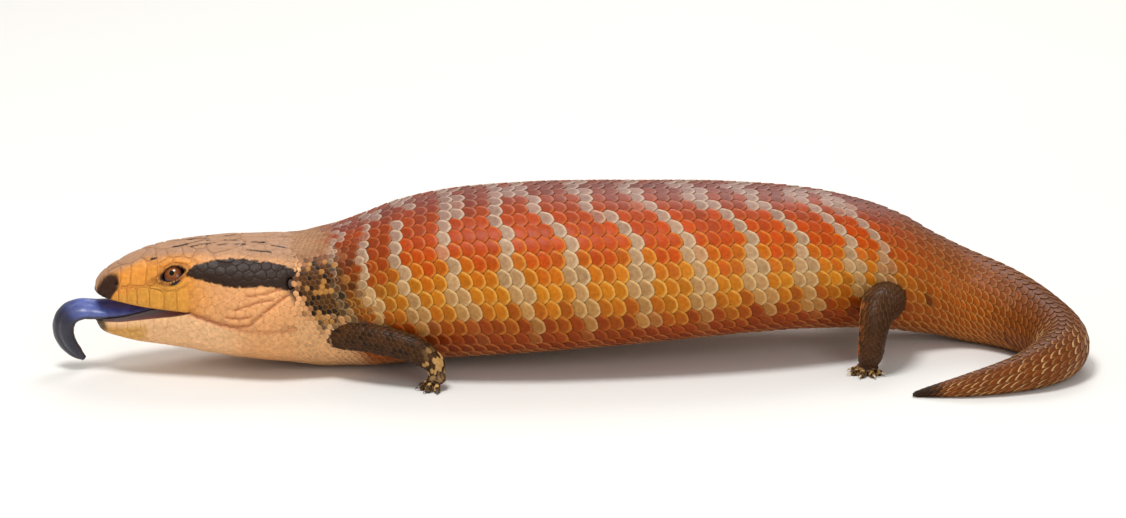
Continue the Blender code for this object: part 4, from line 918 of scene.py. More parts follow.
# The head's shields, as outlines of (along, around) in mm. Those across the middle give their left half.
MIDDLE_SHIELDS_MM = {
    "rostral": ((0.1, 0), (0.1, 5.6), (1.2, 8.6), (3.6, 7.2), (4, 3), (4.2, 0)),
    "frontonasal": ((7.5, 0), (8.4, 3.6), (12.2, 5.9), (15.4, 4.8), (17.2, 1.8), (17.4, 0)),
    "frontal": ((19.6, 0), (20.2, 2.3), (23.2, 4), (29.4, 3.6), (32.6, 1.4), (33.1, 0)),
    "interparietal": ((36.6, 0), (38, 2.8), (41, 3), (47.8, 1.2), (48.6, 0)),
}
SIDE_SHIELDS_MM = {
    "nasal": (
        (4, 7), (4.3, 3.2), (8.3, 3.8), (8.6, 8), (8, 12.2), (4.6, 11.6), (1.6, 9.6), (3.4, 7.6),
    ),
    "supranasal": ((4.3, 0.05), (4.2, 2.9), (8.3, 3.5), (7.4, 0.05)),
    "postnasal": ((8.5, 4), (12, 6.2), (11.7, 10.4), (11.3, 13.6), (8.2, 12.2), (8.8, 8)),
    "loreal": ((12.2, 6.2), (15.4, 5.2), (17.4, 9.2), (16.5, 13.4), (16.4, 16.6), (11.5, 13.8), (11.9, 10.4)),
    "preocular": ((16.7, 13.6), (17.6, 9.4), (20.4, 11.2), (20.6, 14.6), (19.4, 17.8), (16.7, 16.8)),
    "prefrontal": (
        (15.6, 5), (17.4, 1.9), (19.5, 0.05), (20.1, 2.4), (20, 7.6), (17.5, 8.8), (15.6, 5.4),
    ),
    "supraocular_front": ((20.2, 7.7), (20.4, 2.7), (23.2, 4.2), (24, 9.9), (20.6, 11)),
    "supraocular_middle": ((23.5, 4.2), (28.6, 4), (29, 10.6), (24.3, 9.9)),
    "supraocular_rear": ((28.8, 4), (29.6, 3.8), (33.6, 7.7), (31.8, 12.2), (29.2, 10.8)),
    "brow_front": ((20.6, 11.3), (24, 10.2), (25.6, 10.2), (25.4, 12.2), (22, 12.9)),
    "brow_rear": ((25.8, 10.3), (29.1, 10.9), (31.8, 12.5), (31, 14.4), (29, 13.4), (25.7, 12.2)),
    "frontoparietal": ((29.8, 3.6), (32.8, 1.5), (36.4, 0.05), (37.8, 2.9), (36.2, 7.7), (33.8, 7.7)),
    "parietal": ((38.1, 3), (41, 3.2), (47.9, 1.4), (49.8, 5.8), (46.2, 9.6), (38.5, 11), (36.4, 7.9)),
    "temporal_upper": ((34, 7.9), (36.2, 7.9), (38.3, 11.1), (39.4, 14.4), (34.4, 14.9), (32, 12.5)),
    "temporal_middle": ((38.7, 11.1), (46.2, 9.8), (48.2, 13.8), (44, 16.4), (39.7, 14.6)),
    "nuchal": ((48.8, 0.05), (48, 1.3), (50, 5.8), (56.4, 6.6), (56.8, 0.05)),
    "subocular_front": ((17, 17), (19.6, 18), (21.4, 19.6), (22.6, 21), (18, 18.2)),
    "subocular_middle": ((21.8, 19.7), (26, 20.2), (26.4, 21.8), (22.9, 21.1)),
    "subocular_rear": ((26.2, 20.2), (30.6, 18.8), (32, 20.6), (26.8, 21.8)),
}
# Where the seams between lip plates are, and how high up the plates reach. All in mm.
LIP_SEAMS_MM = (2.2, 5, 7.6, 10.3, 13.6, 17.6, 22.3, 26.4, 30.4)
LIP_TOPS_MM = (10.2, 11.7, 12.5, 13.6, 15.5, 17.6, 21.2, 22, 21.8)
JAW_SEAMS_MM = (1, 3.4, 6.6, 10.2, 14.4, 18.8, 23.2, 27.4, 31)
JAW_LIP_TALL_MM = 3.2
# How many points go round a large plate, a small one and one of the lids.
PLATE_SIDES, SMALL_PLATE_SIDES, LID_PLATE_SIDES = 30, 20, 16
# A plate's rounded rim, as depths in mm and shares of its height, then its rings inside the rim, its middle's
# height, its largest unevenness in mm, and how far its corners are cut each time.
PLATE_BEVEL_MM = ((0, 0.25), (0.1, 0.66), (0.3, 0.95))
PLATE_SHARES = (0.26, 0.52, 0.78)
PLATE_MIDDLE, PLATE_UNEVEN_MM, PLATE_UNWRAP, CORNER_CUTS = 1.12, 0.035, 0.003, (0.16, 0.25, 0.25)


def trimmed(outline, gap, sides):
    """An outline moved inwards by a gap, with round corners and even points, and the directions inwards."""
    points = np.array(outline, float)
    ahead = np.roll(points, -1, 0)
    area = 0.5 * np.sum(points[:, 0] * ahead[:, 1] - points[:, 1] * ahead[:, 0])
    points = points if area > 0 else points[::-1]
    for share in CORNER_CUTS:
        ahead = np.roll(points, -1, 0)
        cuts = [points * (1 - share) + ahead * share, points * share + ahead * (1 - share)]
        points = np.stack(cuts, 1).reshape(-1, 2)
    closed = np.vstack([points, points[:1]])
    ways = ways_along(closed)
    points = read_line(np.linspace(0, ways[-1], sides, endpoint=False), ways, closed)
    along = unit(np.roll(points, -1, 0) - np.roll(points, 1, 0))
    inward = np.stack([-along[:, 1], along[:, 0]], -1)
    return points + inward * gap, inward


def lay_plate(coat, sheet, outline, rise, marking, draw, mirror, gap, root=0.5, sides=PLATE_SIDES):
    """Lays one raised plate, whose outline is (along, around) in mm, with a rounded rim and an uneven top.
    rise is its height, gap half of the seam round it, and root its depth under the skin, in mm."""
    points, inward = trimmed(outline, gap, sides)
    middle = points.mean(0)
    reach = np.linalg.norm(points - middle, axis=1).min()
    rows, heights, edge = [middle[None]], [np.array([PLATE_MIDDLE])], [np.array([0.0])]
    bevels = [(min(d, reach * 0.45), h) for d, h in PLATE_BEVEL_MM]
    shoulder = points + inward * bevels[-1][0]
    for share in PLATE_SHARES:
        rows.append(middle + (shoulder - middle) * share)
        heights.append(np.full(sides, PLATE_MIDDLE - (PLATE_MIDDLE - 1) * share**2))
        edge.append(np.full(sides, share * 0.8))
    for depth, height in bevels[::-1]:
        rows.append(points + inward * depth)
        heights.append(np.full(sides, height))
        edge.append(np.full(sides, 1.0 - min(depth / 0.5, 0.2)))
    rows.append(points)
    heights.append(np.full(sides, -root / rise))
    edge.append(np.ones(sides))
    flat, lift, edge = np.vstack(rows), np.concatenate(heights) * rise, np.concatenate(edge)
    side = -1.0 if mirror else 1.0
    along, around = flat[:, 0] * MM, flat[:, 1] * MM * side
    lift = lift + PLATE_UNEVEN_MM * ripple(flat[:, 0] * 1.3, flat[:, 1] * 1.3, draw * 50) * (lift > 0)
    world, _ = sheet.read(along, around / sheet.half(along), lift * MM)
    marks, rims = marking(along, around, np.full(along.shape, draw))
    marks = marks * (0.95 + 0.1 * draw)
    faces = ring_faces(sides, len(rows) - 1)
    here = middle[0] * MM, side * middle[1] * MM / sheet.half(middle[0] * MM)
    spot = np.array([0.02 + 0.96 * middle[0] / 70, 0.5 + 0.48 * here[1]])
    local = (flat - middle) / max(np.ptp(flat, axis=0).max(), 1e-6) * PLATE_UNWRAP
    here = (np.array([v]) for v in here)
    faces_out(coat, world[None], faces, marks[None], rims[None], edge, (spot + local)[None], sheet, *here)


def cell_outlines(seeds, keep, reach, box):
    """The cells of points nearest to each kept seed, as outlines cut off at a box."""
    found = []
    for seed in np.flatnonzero(keep):
        centre = seeds[seed]
        near = np.flatnonzero((np.linalg.norm(seeds - centre, axis=1) < reach * 2.4)
                              & (np.arange(len(seeds)) != seed))
        cell = [centre + np.array(c) * reach for c in ((-1, -1), (1, -1), (1, 1), (-1, 1))]
        for other in near:
            normal = seeds[other] - centre
            limit = normal @ (seeds[other] + centre) / 2
            cut = []
            for p, q in zip(cell, cell[1:] + cell[:1]):
                dp, dq = p @ normal - limit, q @ normal - limit
                if dp <= 0:
                    cut.append(p)
                if dp * dq < 0:
                    cut.append(p + (q - p) * dp / (dp - dq))
            cell = cut
            if len(cell) < 3:
                break
        if len(cell) >= 3:
            cell = np.clip(np.array(cell), box[0], box[1])
            found.append((centre, cell))
    return found


def inside(outline, a, b):
    """Whether points lie inside an outline."""
    result = np.zeros(np.shape(a), bool)
    points = list(outline)
    for (a0, b0), (a1, b1) in zip(points, points[1:] + points[:1]):
        crosses = (b0 > b) != (b1 > b)
        result ^= crosses & (a < (a1 - a0) * (b - b0) / ((b1 - b0) if b1 != b0 else 1e-9) + a0)
    return result


def head_outlines():
    """Outlines of all the named shields and of the lip plates on the left side."""
    whole = []
    for half in MIDDLE_SHIELDS_MM.values():
        whole.append(list(half) + [(a, -r) for a, r in reversed(half) if r > 0])
    side = list(SIDE_SHIELDS_MM.values())
    seams = list(zip(LIP_SEAMS_MM, LIP_TOPS_MM))
    for (a, top_a), (b, top_b) in zip(seams, seams[1:]):
        low = [UPPER.half(v * MM) / MM + 0.05 for v in (b, a)]
        side.append([(a, top_a), (b, top_b), (b, low[0]), (a, low[1])])
    return whole, side


# The small plates of the cheeks, temples and nape, then those of the throat: the first one's place, a plate's
# length and height and how uneven these are, rows and columns, the farthest a plate reaches from its seed and
# the box that holds them all. All but the rows and columns are in mm.
CHEEK_FIRST, CHEEK_PLATE, CHEEK_UNEVEN = 26, (3.7, 3.1), (1.3, 0.9)
CHEEK_ROWS, CHEEK_COLUMNS, CHEEK_REACH, CHEEK_BOX = (-3, 16), (-2, 22), 4, ((26, 0.03), (66.2, 46))
THROAT_FIRST, THROAT_PLATE, THROAT_UNEVEN = 0.8, (2.9, 1.75), (0.9, 0.5)
THROAT_PLATE_ROWS, THROAT_COLUMNS, THROAT_REACH = (-2, 26), (-1, 34), 3
THROAT_BOX = ((0.6, 0.03), (66.2, 60))
# Heights of the plates and half of the seam round them.
TOP_PLATE_MM, SIDE_PLATE_MM, JAW_PLATE_MM = (0.2, 0.08), (0.24, 0.09), (0.14, 0.05)
SMALL_PLATE_MM, SMALL_PLATE_ROOT_MM = (0.07, 0.02), 0.3


def plate_seeds(first, plate, uneven, rows, columns, seeds):
    """Seeds of small plates in uneven rows that run along the head. seeds are two for its draws."""
    found = []
    for row in range(*rows):
        for column in range(*columns):
            a = first + column * plate[0] + 0.5 * plate[0] * (row % 2)
            a += (chance(row, column, seeds[0]) - 0.5) * uneven[0]
            b = row * plate[1] + (chance(row, column, seeds[1]) - 0.5) * uneven[1]
            found.append((a, b))
    return np.array(found)


def lay_both(coat, sheet, outlines, size, marking, seed):
    """Plates on both sides, where seed makes the draws."""
    rise, gap = size
    for mirror in (False, True):
        for number, outline in enumerate(outlines):
            lay_plate(coat, sheet, outline, rise, marking, chance(number, seed + mirror).item(), mirror, gap)


def lay_small_plates(coat, sheet, seeds, taken, reach, box, marking, seed):
    """A small plate round every seed that isn't taken, on both sides, where seed makes the draws."""
    rise, gap = SMALL_PLATE_MM
    for mirror in (False, True):
        for centre, cell in cell_outlines(seeds, ~taken, reach, box):
            draw = chance(centre[0], centre[1], seed + mirror).item()
            low = sheet.half(centre[0] * MM) / MM
            cell = np.column_stack([cell[:, 0], np.minimum(cell[:, 1], low)])
            lay_plate(coat, sheet, cell, rise, marking, draw, mirror, gap, SMALL_PLATE_ROOT_MM,
                      SMALL_PLATE_SIDES)


def head_plates(material):
    """Shields on top of the head, lip plates, and the smaller plates of the cheeks, temples and nape."""
    coat = Coat()
    whole, side = head_outlines()
    rise, gap = TOP_PLATE_MM
    for number, outline in enumerate(whole):
        lay_plate(coat, UPPER, outline, rise, head_marks, chance(number, 3.0).item(), False, gap)
    lay_both(coat, UPPER, side, SIDE_PLATE_MM, head_marks, 6.0)
    seeds = plate_seeds(CHEEK_FIRST, CHEEK_PLATE, CHEEK_UNEVEN, CHEEK_ROWS, CHEEK_COLUMNS, (1.0, 2.0))
    a, b = seeds.T
    taken = np.zeros(len(seeds), bool)
    for outline in whole + side:
        taken |= inside(outline, a, b)
    taken |= from_eye(a, b) < 1.7
    taken |= np.hypot((a - EAR_PLACE_MM[0]) / 1.6, (b - EAR_PLACE_MM[1]) / 2.8) < 1
    half = UPPER.half(a * MM) / MM
    taken |= (a < 27) | (a > 65.4) | (b < -0.3) | (b > half - 0.4)
    lay_small_plates(coat, UPPER, seeds, taken, CHEEK_REACH, CHEEK_BOX, head_marks, 2.0)
    finish_piece(coat.build("head_shields", material))


def jaw_plates(material):
    """Lip plates of the lower jaw, the long plates under them and the small ones of the throat."""
    coat = Coat()
    lips = []
    for a, b in zip(JAW_SEAMS_MM, JAW_SEAMS_MM[1:]):
        ends = [LOWER.half(v * MM) / MM for v in (a, b)]
        tall = [min(JAW_LIP_TALL_MM, 0.45 * e) for e in ends]
        low, high = [e + 0.05 for e in ends], [e - t for e, t in zip(ends, tall)]
        lips.append([(a, low[0]), (b, low[1]), (b, high[1]), (a, high[0])])
    lay_both(coat, LOWER, lips, JAW_PLATE_MM, jaw_marks, 9.0)
    rows, columns = THROAT_PLATE_ROWS, THROAT_COLUMNS
    seeds = plate_seeds(THROAT_FIRST, THROAT_PLATE, THROAT_UNEVEN, rows, columns, (3.0, 4.0))
    a, b = seeds.T
    half = LOWER.half(a * MM) / MM
    taken = (a < 1.2) | (a > 65.2) | (b < -0.3) | (b > half - 0.3)
    for outline in lips:
        taken |= inside(outline, a, b)
    lay_small_plates(coat, LOWER, seeds, taken, THROAT_REACH, THROAT_BOX, jaw_marks, 5.0)
    finish_piece(coat.build("jaw_shields", material))


class Value:
    """A socket of a finish, on which sums are written as on a number."""

    def __init__(self, finish, socket):
        self.finish, self.socket = finish, socket

    def sum_of(self, operation, *values):
        return self.finish.node("ShaderNodeMath", {"operation": operation}, *values)

    def __add__(self, other):
        return self.sum_of("ADD", self, other)

    def __sub__(self, other):
        return self.sum_of("SUBTRACT", self, other)

    def __rsub__(self, other):
        return self.sum_of("SUBTRACT", other, self)

    def __mul__(self, other):
        return self.sum_of("MULTIPLY", self, other)

    __radd__, __rmul__ = __add__, __mul__


class Finish:
    """A material made of nodes, built up from sums on its sockets."""

    def __init__(self, name, **fixed):
        self.material = bpy.data.materials.new(name)
        self.material.use_nodes = True
        self.tree = self.material.node_tree
        self.shader = self.tree.nodes["Principled BSDF"]
        self.place = self.node("ShaderNodeTexCoord", None, output="Object")
        for socket, value in fixed.items():
            self.shader.inputs[socket.replace("_", " ")].default_value = value

    def node(self, kind, settings=None, *values, output=0, **named):
        """A node of a kind, its settings made first, then its sockets' values or links."""
        made = self.tree.nodes.new(kind)
        for setting, value in (settings or {}).items():
            if setting == "stops":
                self.set_stops(made.color_ramp, value)
            else:
                setattr(made, setting, value)
        for socket, value in list(enumerate(values)) + [(k.replace("_", " "), v) for k, v in named.items()]:
            self.put(made.inputs[socket], value)
        return Value(self, made.outputs[output])

    def put(self, socket, value):
        if isinstance(value, Value):
            self.tree.links.new(value.socket, socket)
        elif value is not None:
            socket.default_value = value

    def set_stops(self, ramp_of, stops):
        while len(ramp_of.elements) < len(stops):
            ramp_of.elements.new(1.0)
        for element, (at, colour) in zip(ramp_of.elements, stops):
            element.position, element.color = at, (*seen(*colour), 1.0)

    def attribute(self, name, output="Color"):
        return self.node("ShaderNodeAttribute", {"attribute_name": name}, output=output)

    def noise(self, scale, detail=3.0, rough=0.5, at=None):
        return self.node("ShaderNodeTexNoise", None, Vector=at or self.place, Scale=scale, Detail=detail,
                         Roughness=rough)

    def between(self, value, low, high, out_low=0.0, out_high=1.0):
        """A value taken from one range to another, smoothly."""
        way = {"interpolation_type": "SMOOTHSTEP"}
        return self.node("ShaderNodeMapRange", way, value, low, high, out_low, out_high)

    def mix(self, share, a, b, way="MIX"):
        made = self.tree.nodes.new("ShaderNodeMix")
        made.data_type, made.blend_type = "RGBA", way
        for socket, value in ((0, share), (6, a), (7, b)):
            if isinstance(value, tuple):
                value = (*seen(*value), 1.0)
            self.put(made.inputs[socket], value)
        return Value(self, made.outputs[2])

    def stops(self, value, *stops):
        return self.node("ShaderNodeValToRGB", {"stops": stops}, value, output="Color")

    def finish(self, colour, rough, bump=None, strength=0.3, distance=0.0002):
        for name, value in (("Base Color", colour), ("Roughness", rough)):
            self.put(self.shader.inputs[name], value)
        if bump is not None:
            normal = self.node("ShaderNodeBump", None, Strength=strength, Distance=distance, Height=bump,
                               output="Normal")
            self.put(self.shader.inputs["Normal"], normal)
        return self.material


def scale_finish():
    """Glossy horn scales: each with its own rim, a dark line at its edge and a fine uneven grain."""
    f = Finish("scale_horn", Coat_Weight=0.03, Coat_Roughness=0.22, Specular_IOR_Level=0.1)
    edge = f.attribute("edge", "Fac")
    grain, blotch = f.noise(2600.0, 4.0), f.noise(420.0, 3.0)
    reach = edge + (blotch - 0.5) * 0.22
    colour = f.mix(f.between(reach, 0.55, 0.92), f.attribute("marking"), f.attribute("rim_marking"))
    shade = f.stops(f.noise(900.0, 5.0, 0.6), (0.25, (206, 200, 196)), (0.75, (255, 255, 255)))
    colour = f.mix(1.0, colour, shade, "MULTIPLY")
    colour = f.mix(f.between(edge, 0.93, 1.0) * 0.6, colour, (58, 34, 20))
    rough = f.between(grain, 0.3, 0.7, 0.36, 0.5)
    return f.finish(colour, rough, grain + blotch * 0.6, 0.28, 0.00012)


def shield_finish():
    """Head shields: flatter and a little duller, with fine pits and soft dark seams."""
    f = Finish("shield_horn", Coat_Weight=0.04, Coat_Roughness=0.3, Specular_IOR_Level=0.16)
    edge = f.attribute("edge", "Fac")
    grain, blotch = f.noise(3200.0, 4.0), f.noise(520.0, 3.0)
    reach = edge + (blotch - 0.5) * 0.16
    colour = f.mix(f.between(reach, 0.86, 1.0), f.attribute("marking"), f.attribute("rim_marking"))
    shade = f.stops(f.noise(760.0, 5.0, 0.62), (0.25, (214, 206, 200)), (0.72, (255, 255, 255)))
    colour = f.mix(1.0, colour, shade, "MULTIPLY")
    colour = f.mix(f.between(edge, 0.99, 1.0) * 0.15, colour, (70, 44, 28))
    rough = f.between(grain, 0.3, 0.7, 0.4, 0.54)
    return f.finish(colour, rough, grain + blotch * 0.5, 0.3, 0.0001)


def skin_finish():
    """The bare skin in the seams between the scales, and the wet lining of the mouth."""
    f = Finish("skin_between_scales", Specular_IOR_Level=0.25)
    wet = f.attribute("lining", "Fac")
    grain = f.noise(2400.0, 5.0, 0.6)
    dark = f.mix(f.attribute("bare", "Fac"), f.attribute("marking"), (52, 32, 22))
    tone = f.stops(grain, (0.3, (190, 178, 170)), (0.7, (255, 255, 255)))
    dark = f.mix(1.0, dark, tone, "MULTIPLY")
    inner = f.mix(f.noise(300.0, 3.0), (196, 104, 92), (226, 148, 132))
    colour = f.mix(wet, dark, inner)
    rough = f.between(wet, 0.0, 1.0, 0.62, 0.24)
    return f.finish(colour, rough, grain, 0.35, 0.0002)


# The iris from the middle of the eye outwards, as (distance in fifths of a mm, colour).
IRIS = (
    (0, (6, 4, 4)), (0.175, (6, 4, 4)), (0.2, (176, 116, 50)), (0.25, (150, 80, 28)),
    (0.42, (128, 62, 20)), (0.52, (84, 40, 15)), (0.6, (16, 9, 6)),
)


def eye_finish():
    """A wet eye: black pupil, thin bright ring, orange-brown iris with fine rays, dark outer ring."""
    f = Finish("eye_wet", Coat_Weight=0.35, Coat_Roughness=0.03, Specular_IOR_Level=0.3, IOR=1.38)
    gaze = f.attribute("gaze", "Vector")
    reach = f.node("ShaderNodeVectorMath", {"operation": "LENGTH"}, gaze, output="Value")
    rays = f.noise(5.0, 4.0, 0.65, f.node("ShaderNodeVectorMath", {"operation": "NORMALIZE"}, gaze))
    mottle = f.noise(1.6, 3.0, 0.6, gaze)
    at = (reach + (rays - 0.5) * 0.35) * 0.2
    colour = f.stops(at, *IRIS)
    shade = f.stops(mottle, (0.3, (170, 160, 150)), (0.7, (255, 255, 255)))
    return f.finish(f.mix(1.0, colour, shade, "MULTIPLY"), 0.12, rays, 0.05, 0.0001)


def tongue_finish():
    """A moist tongue with a fine velvety grain and a painted velvety sheen, cobalt blue above and with
    painted shade beneath.
    """
    f = Finish("tongue_moist", Coat_Weight=0.3, Coat_Roughness=0.2, Specular_IOR_Level=0.35)
    velvet_grain_and_sheen, blotch = f.noise(3600.0, 3.0), f.noise(330.0, 4.0, 0.6)
    shade = f.stops(blotch, (0.3, (190, 190, 200)), (0.7, (255, 255, 255)))
    colour = f.mix(1.0, f.attribute("marking"), shade, "MULTIPLY")
    # A painted velvety sheen: fine flecks mixed towards pale blue. The same grain also gives the bump.
    colour = f.mix(f.between(velvet_grain_and_sheen, 0.5, 0.75) * 0.09, colour, (150, 168, 222))
    return f.finish(colour, f.between(blotch, 0.3, 0.7, 0.3, 0.46), velvet_grain_and_sheen, 0.45, 0.00025)


def claw_finish():
    """Horn claws, dark at the root and paler and worn towards the tip."""
    f = Finish("claw_horn", Coat_Weight=0.3, Coat_Roughness=0.2)
    streaks = f.noise(1500.0, 4.0)
    colour = f.mix(f.between(streaks, 0.35, 0.7) * 0.5, f.attribute("marking"), (40, 28, 22))
    return f.finish(colour, f.between(streaks, 0.3, 0.7, 0.24, 0.4), streaks, 0.2, 0.0001)


def drum_finish():
    """The thin dull skin of the eardrum."""
    f = Finish("eardrum_skin")
    speckle = f.noise(1800.0, 4.0)
    colour = f.mix(speckle, (44, 32, 26), (84, 62, 50))
    return f.finish(colour, f.between(speckle, 0.3, 0.7, 0.45, 0.65), speckle)


def floor_finish():
    """A plain pale studio floor with a faint unevenness."""
    f = Finish("studio_floor", Specular_IOR_Level=0.2)
    cloud = f.noise(3.0, 3.0)
    return f.finish(f.mix(cloud, (222, 220, 216), (228, 226, 222)), f.between(cloud, 0.3, 0.7, 0.82, 0.9))


def ring_strip(first, second, closed=False):
    """Four-sided faces between two rows of point numbers."""
    first, second = list(first), list(second)
    if closed:
        first, second = first + first[:1], second + second[:1]
    return [(a, b, d, c) for a, b, c, d in zip(first, first[1:], second, second[1:])]


# Columns and places along of the skin's own points.
TOP_COLUMNS, LOW_COLUMNS, MOUTH_COLUMNS = 113, 77, 27
HEAD_SKIN_PLACES = np.concatenate([TIP_PLACES, np.arange(3.4, 30.9, 0.6) * MM, [MOUTH_CORNER],
                                   np.arange(31.5, 65.7, 0.6) * MM])
TRUNK_SKIN_PLACES = np.concatenate([np.arange(66, 260, 1.7), np.arange(260, 400, 1.5),
                                    np.arange(400, 408, 0.8)]) * MM


# How dark the skin is between the scales: on the head, how much more on the nape, and on the rest.
HEAD_SHADE, NAPE_SHADE, BODY_SHADE = 0.06, 0.24, 0.45


class Hide:
    """Points and faces of the skin, with each point's colour, how much it is mouth lining and how dark it is
    between the scales."""

    def __init__(self):
        self.points, self.faces, self.count = [], [], 0
        self.colours, self.wet, self.bare = [], [], []
        self.shade = BODY_SHADE

    def row(self, points, colours, wet=0.0):
        numbers = np.arange(self.count, self.count + len(points))
        self.points.append(points)
        self.colours.append(np.broadcast_to(colours, points.shape))
        self.wet.append(np.broadcast_to(wet, len(points)))
        self.bare.append(np.full(len(points), self.shade))
        self.count += len(points)
        return numbers

    def cap(self, ring):
        """Closes a ring with a fan round its middle."""
        points = np.concatenate(self.points)[ring]
        colour = np.concatenate(self.colours)[ring[0]]
        middle = self.row(points.mean(0)[None], colour[None])[0]
        ring = list(ring) + [ring[0]]
        self.faces += [(a, b, middle) for a, b in zip(ring, ring[1:])]

    def grow(self, ring, points, colours):
        """Adds a ring of points and joins it to the last one. The first ring is closed."""
        now = self.row(points, colours)
        if ring is None:
            self.cap(now)
        else:
            self.faces += ring_strip(ring, now, True)
        return now

    def build(self, name):
        mesh = bpy.data.meshes.new(name)
        faces = [tuple(int(v) for v in face) for face in self.faces]
        mesh.from_pydata(np.concatenate(self.points).tolist(), [], faces)
        shape = bmesh.new()
        shape.from_mesh(mesh)
        bmesh.ops.recalc_face_normals(shape, faces=shape.faces)
        shape.to_mesh(mesh)
        shape.free()
        return new_piece(name, mesh)


def mouth_row(along, corner_side):
    """The palate (1) or the floor of the mouth (-1), from right to left, without its ends at the lips."""
    half_up, half_low, rise, _, upper, lower = (v.item() for v in sizes(np.array(along)))
    spread = np.cos(np.linspace(PI, 2 * PI, MOUTH_COLUMNS + 2)[1:-1])
    inward = step(0.0, 0.3, 1 - np.abs(spread))
    back = inward * 6 * MM * step(24 * MM, MOUTH_CORNER, along)
    if corner_side > 0:
        height = upper + min(2.2 * MM, 0.35 * rise) * inward
        return place(along + back, spread * half_up * 0.95, height)
    return place(along + back, spread * half_low * 0.95, lower - min(1.2 * MM, 0.16 * along) * inward)


def body_hide():
    """The skin of the head, trunk and tail as one closed surface, with the lining of the mouth."""
    hide = Hide()
    over, under = np.linspace(1, -1, TOP_COLUMNS), np.linspace(-1, 1, LOW_COLUMNS)
    half = np.full(1, 0.5)
    top = low = palate = floor = None
    for along in HEAD_SKIN_PLACES:
        a, b = np.full(TOP_COLUMNS, along), np.full(LOW_COLUMNS, along)
        split = along < MOUTH_CORNER - 1e-9
        hide.shade = HEAD_SHADE + NAPE_SHADE * step(58 * MM, HEAD_END, along)
        colours = head_marks(a, over * UPPER.half(along), half)[0]
        now_top = hide.row(UPPER.read(a, over)[0], colours)
        points, colours = LOWER.read(b, under)[0], jaw_marks(b, under * LOWER.half(along), half)[0]
        if split:
            now_low = hide.row(points, colours)
        else:
            inner = hide.row(points[1:-1], colours[1:-1])
            now_low = np.concatenate([now_top[-1:], inner, now_top[:1]])
        if top is not None:
            hide.faces += ring_strip(top, now_top) + ring_strip(low, now_low)
        if split or along == MOUTH_CORNER:
            wet = step(0.0, 0.14, 1 - np.abs(np.cos(np.linspace(PI, 2 * PI, MOUTH_COLUMNS + 2)[1:-1])))
            wet = wet * step(0.5 * MM, 4 * MM, along)
            # The palate and the floor of the mouth take the lip's colour darkened, as painted shade inside
            # the mouth, the palate more than the floor; the wet lining covers it away from the lips and the
            # front.
            now_palate = hide.row(mouth_row(along, 1), colours[0] * 0.4, wet)
            now_floor = hide.row(mouth_row(along, -1), colours[0] * 0.6, wet)
            now_palate = np.concatenate([now_top[-1:], now_palate, now_top[:1]])
            now_floor = np.concatenate([now_low[:1], now_floor, now_low[-1:]])
            if palate is not None:
                hide.faces += ring_strip(now_palate, palate) + ring_strip(floor, now_floor)
            else:
                hide.cap(np.concatenate([now_top, now_palate[1:-1]]))
                hide.cap(np.concatenate([now_low, now_floor[1:-1][::-1]]))
            palate, floor = now_palate, now_floor
            if not split:
                closing = [tuple(dict.fromkeys(face)) for face in ring_strip(palate, floor)]
                hide.faces += closing
        top, low = now_top, now_low
    ring = np.concatenate([top, low[1:-1]])
    upper, lower = UPPER.half(HEAD_END), LOWER.half(HEAD_END)
    sides = under[1:-1]
    spots = np.concatenate([over * upper, np.sign(sides + 1e-12) * (upper + lower * (1 - np.abs(sides)))])
    spots = spots / (upper + lower)
    hide.shade = BODY_SHADE
    for along in TRUNK_SKIN_PLACES[1:]:
        a = np.full(len(spots), along)
        colours = trunk_marks(a, spots, np.full(len(spots), 0.5))[0]
        ring = hide.grow(ring, TRUNK.read(a, spots)[0], colours)
    hide.cap(ring)
    return hide


def frames_along(path, first_side, rolls=None):
    """Directions to one side of a path and square to it, carried smoothly along it. rolls are in degrees."""
    path = np.asarray(path, float)
    tangents = unit(np.gradient(path, axis=0))
    side, sides = np.asarray(first_side, float), []
    for tangent in tangents:
        side = unit(side - tangent * (tangent @ side))
        sides.append(side)
    sides = np.array(sides)
    normals = np.cross(tangents, sides)
    if rolls is not None:
        turn = np.radians(rolls)[:, None]
        c, s = np.cos(turn), np.sin(turn)
        sides, normals = sides * c - normals * s, normals * c + sides * s
    return sides, normals


def tube_sheet(path, widths, depths, columns, shape=None):
    """A sheet round a path. Its middle, across 0, lies on top. shape makes it wider or narrower in places."""
    sides, normals = frames_along(path, (0.0, 0.0, 1.0))
    turns = np.linspace(-PI, PI, columns)
    grow = shape(np.arange(len(path))[:, None]) if shape else 1.0
    points = (np.asarray(path)[:, None] + sides[:, None] * (widths[:, None] * np.cos(turns) * grow)[..., None]
              + normals[:, None] * (depths[:, None] * np.sin(turns) * grow)[..., None])
    return Sheet(ways_along(path), points, True)


def sheet_hide(sheet, sides, colour_of):
    """A closed tube of skin over a sheet, with its colours."""
    hide, ring = Hide(), None
    spots = np.linspace(-1, 1, sides, endpoint=False)
    for along in sheet.alongs:
        a = np.full(sides, along)
        ring = hide.grow(ring, sheet.read(a, spots)[0], colour_of(a, spots, draws(a, spots))[0])
    hide.cap(ring)
    return hide


def ball(name, centre, radii, rings=16, segments=24, axes=None):
    """An ellipsoid with half sizes radii along axes, three directions in world space."""
    axes = np.eye(3) if axes is None else np.asarray(axes)
    shape = bmesh.new()
    bmesh.ops.create_uvsphere(shape, u_segments=segments, v_segments=rings, radius=1.0)
    for vert in shape.verts:
        vert.co = np.asarray(centre) + np.asarray(vert.co) * radii @ axes
    bmesh.ops.recalc_face_normals(shape, faces=shape.faces)
    mesh = bpy.data.meshes.new(name)
    shape.to_mesh(mesh)
    shape.free()
    mesh.shade_smooth()
    return new_piece(name, mesh)


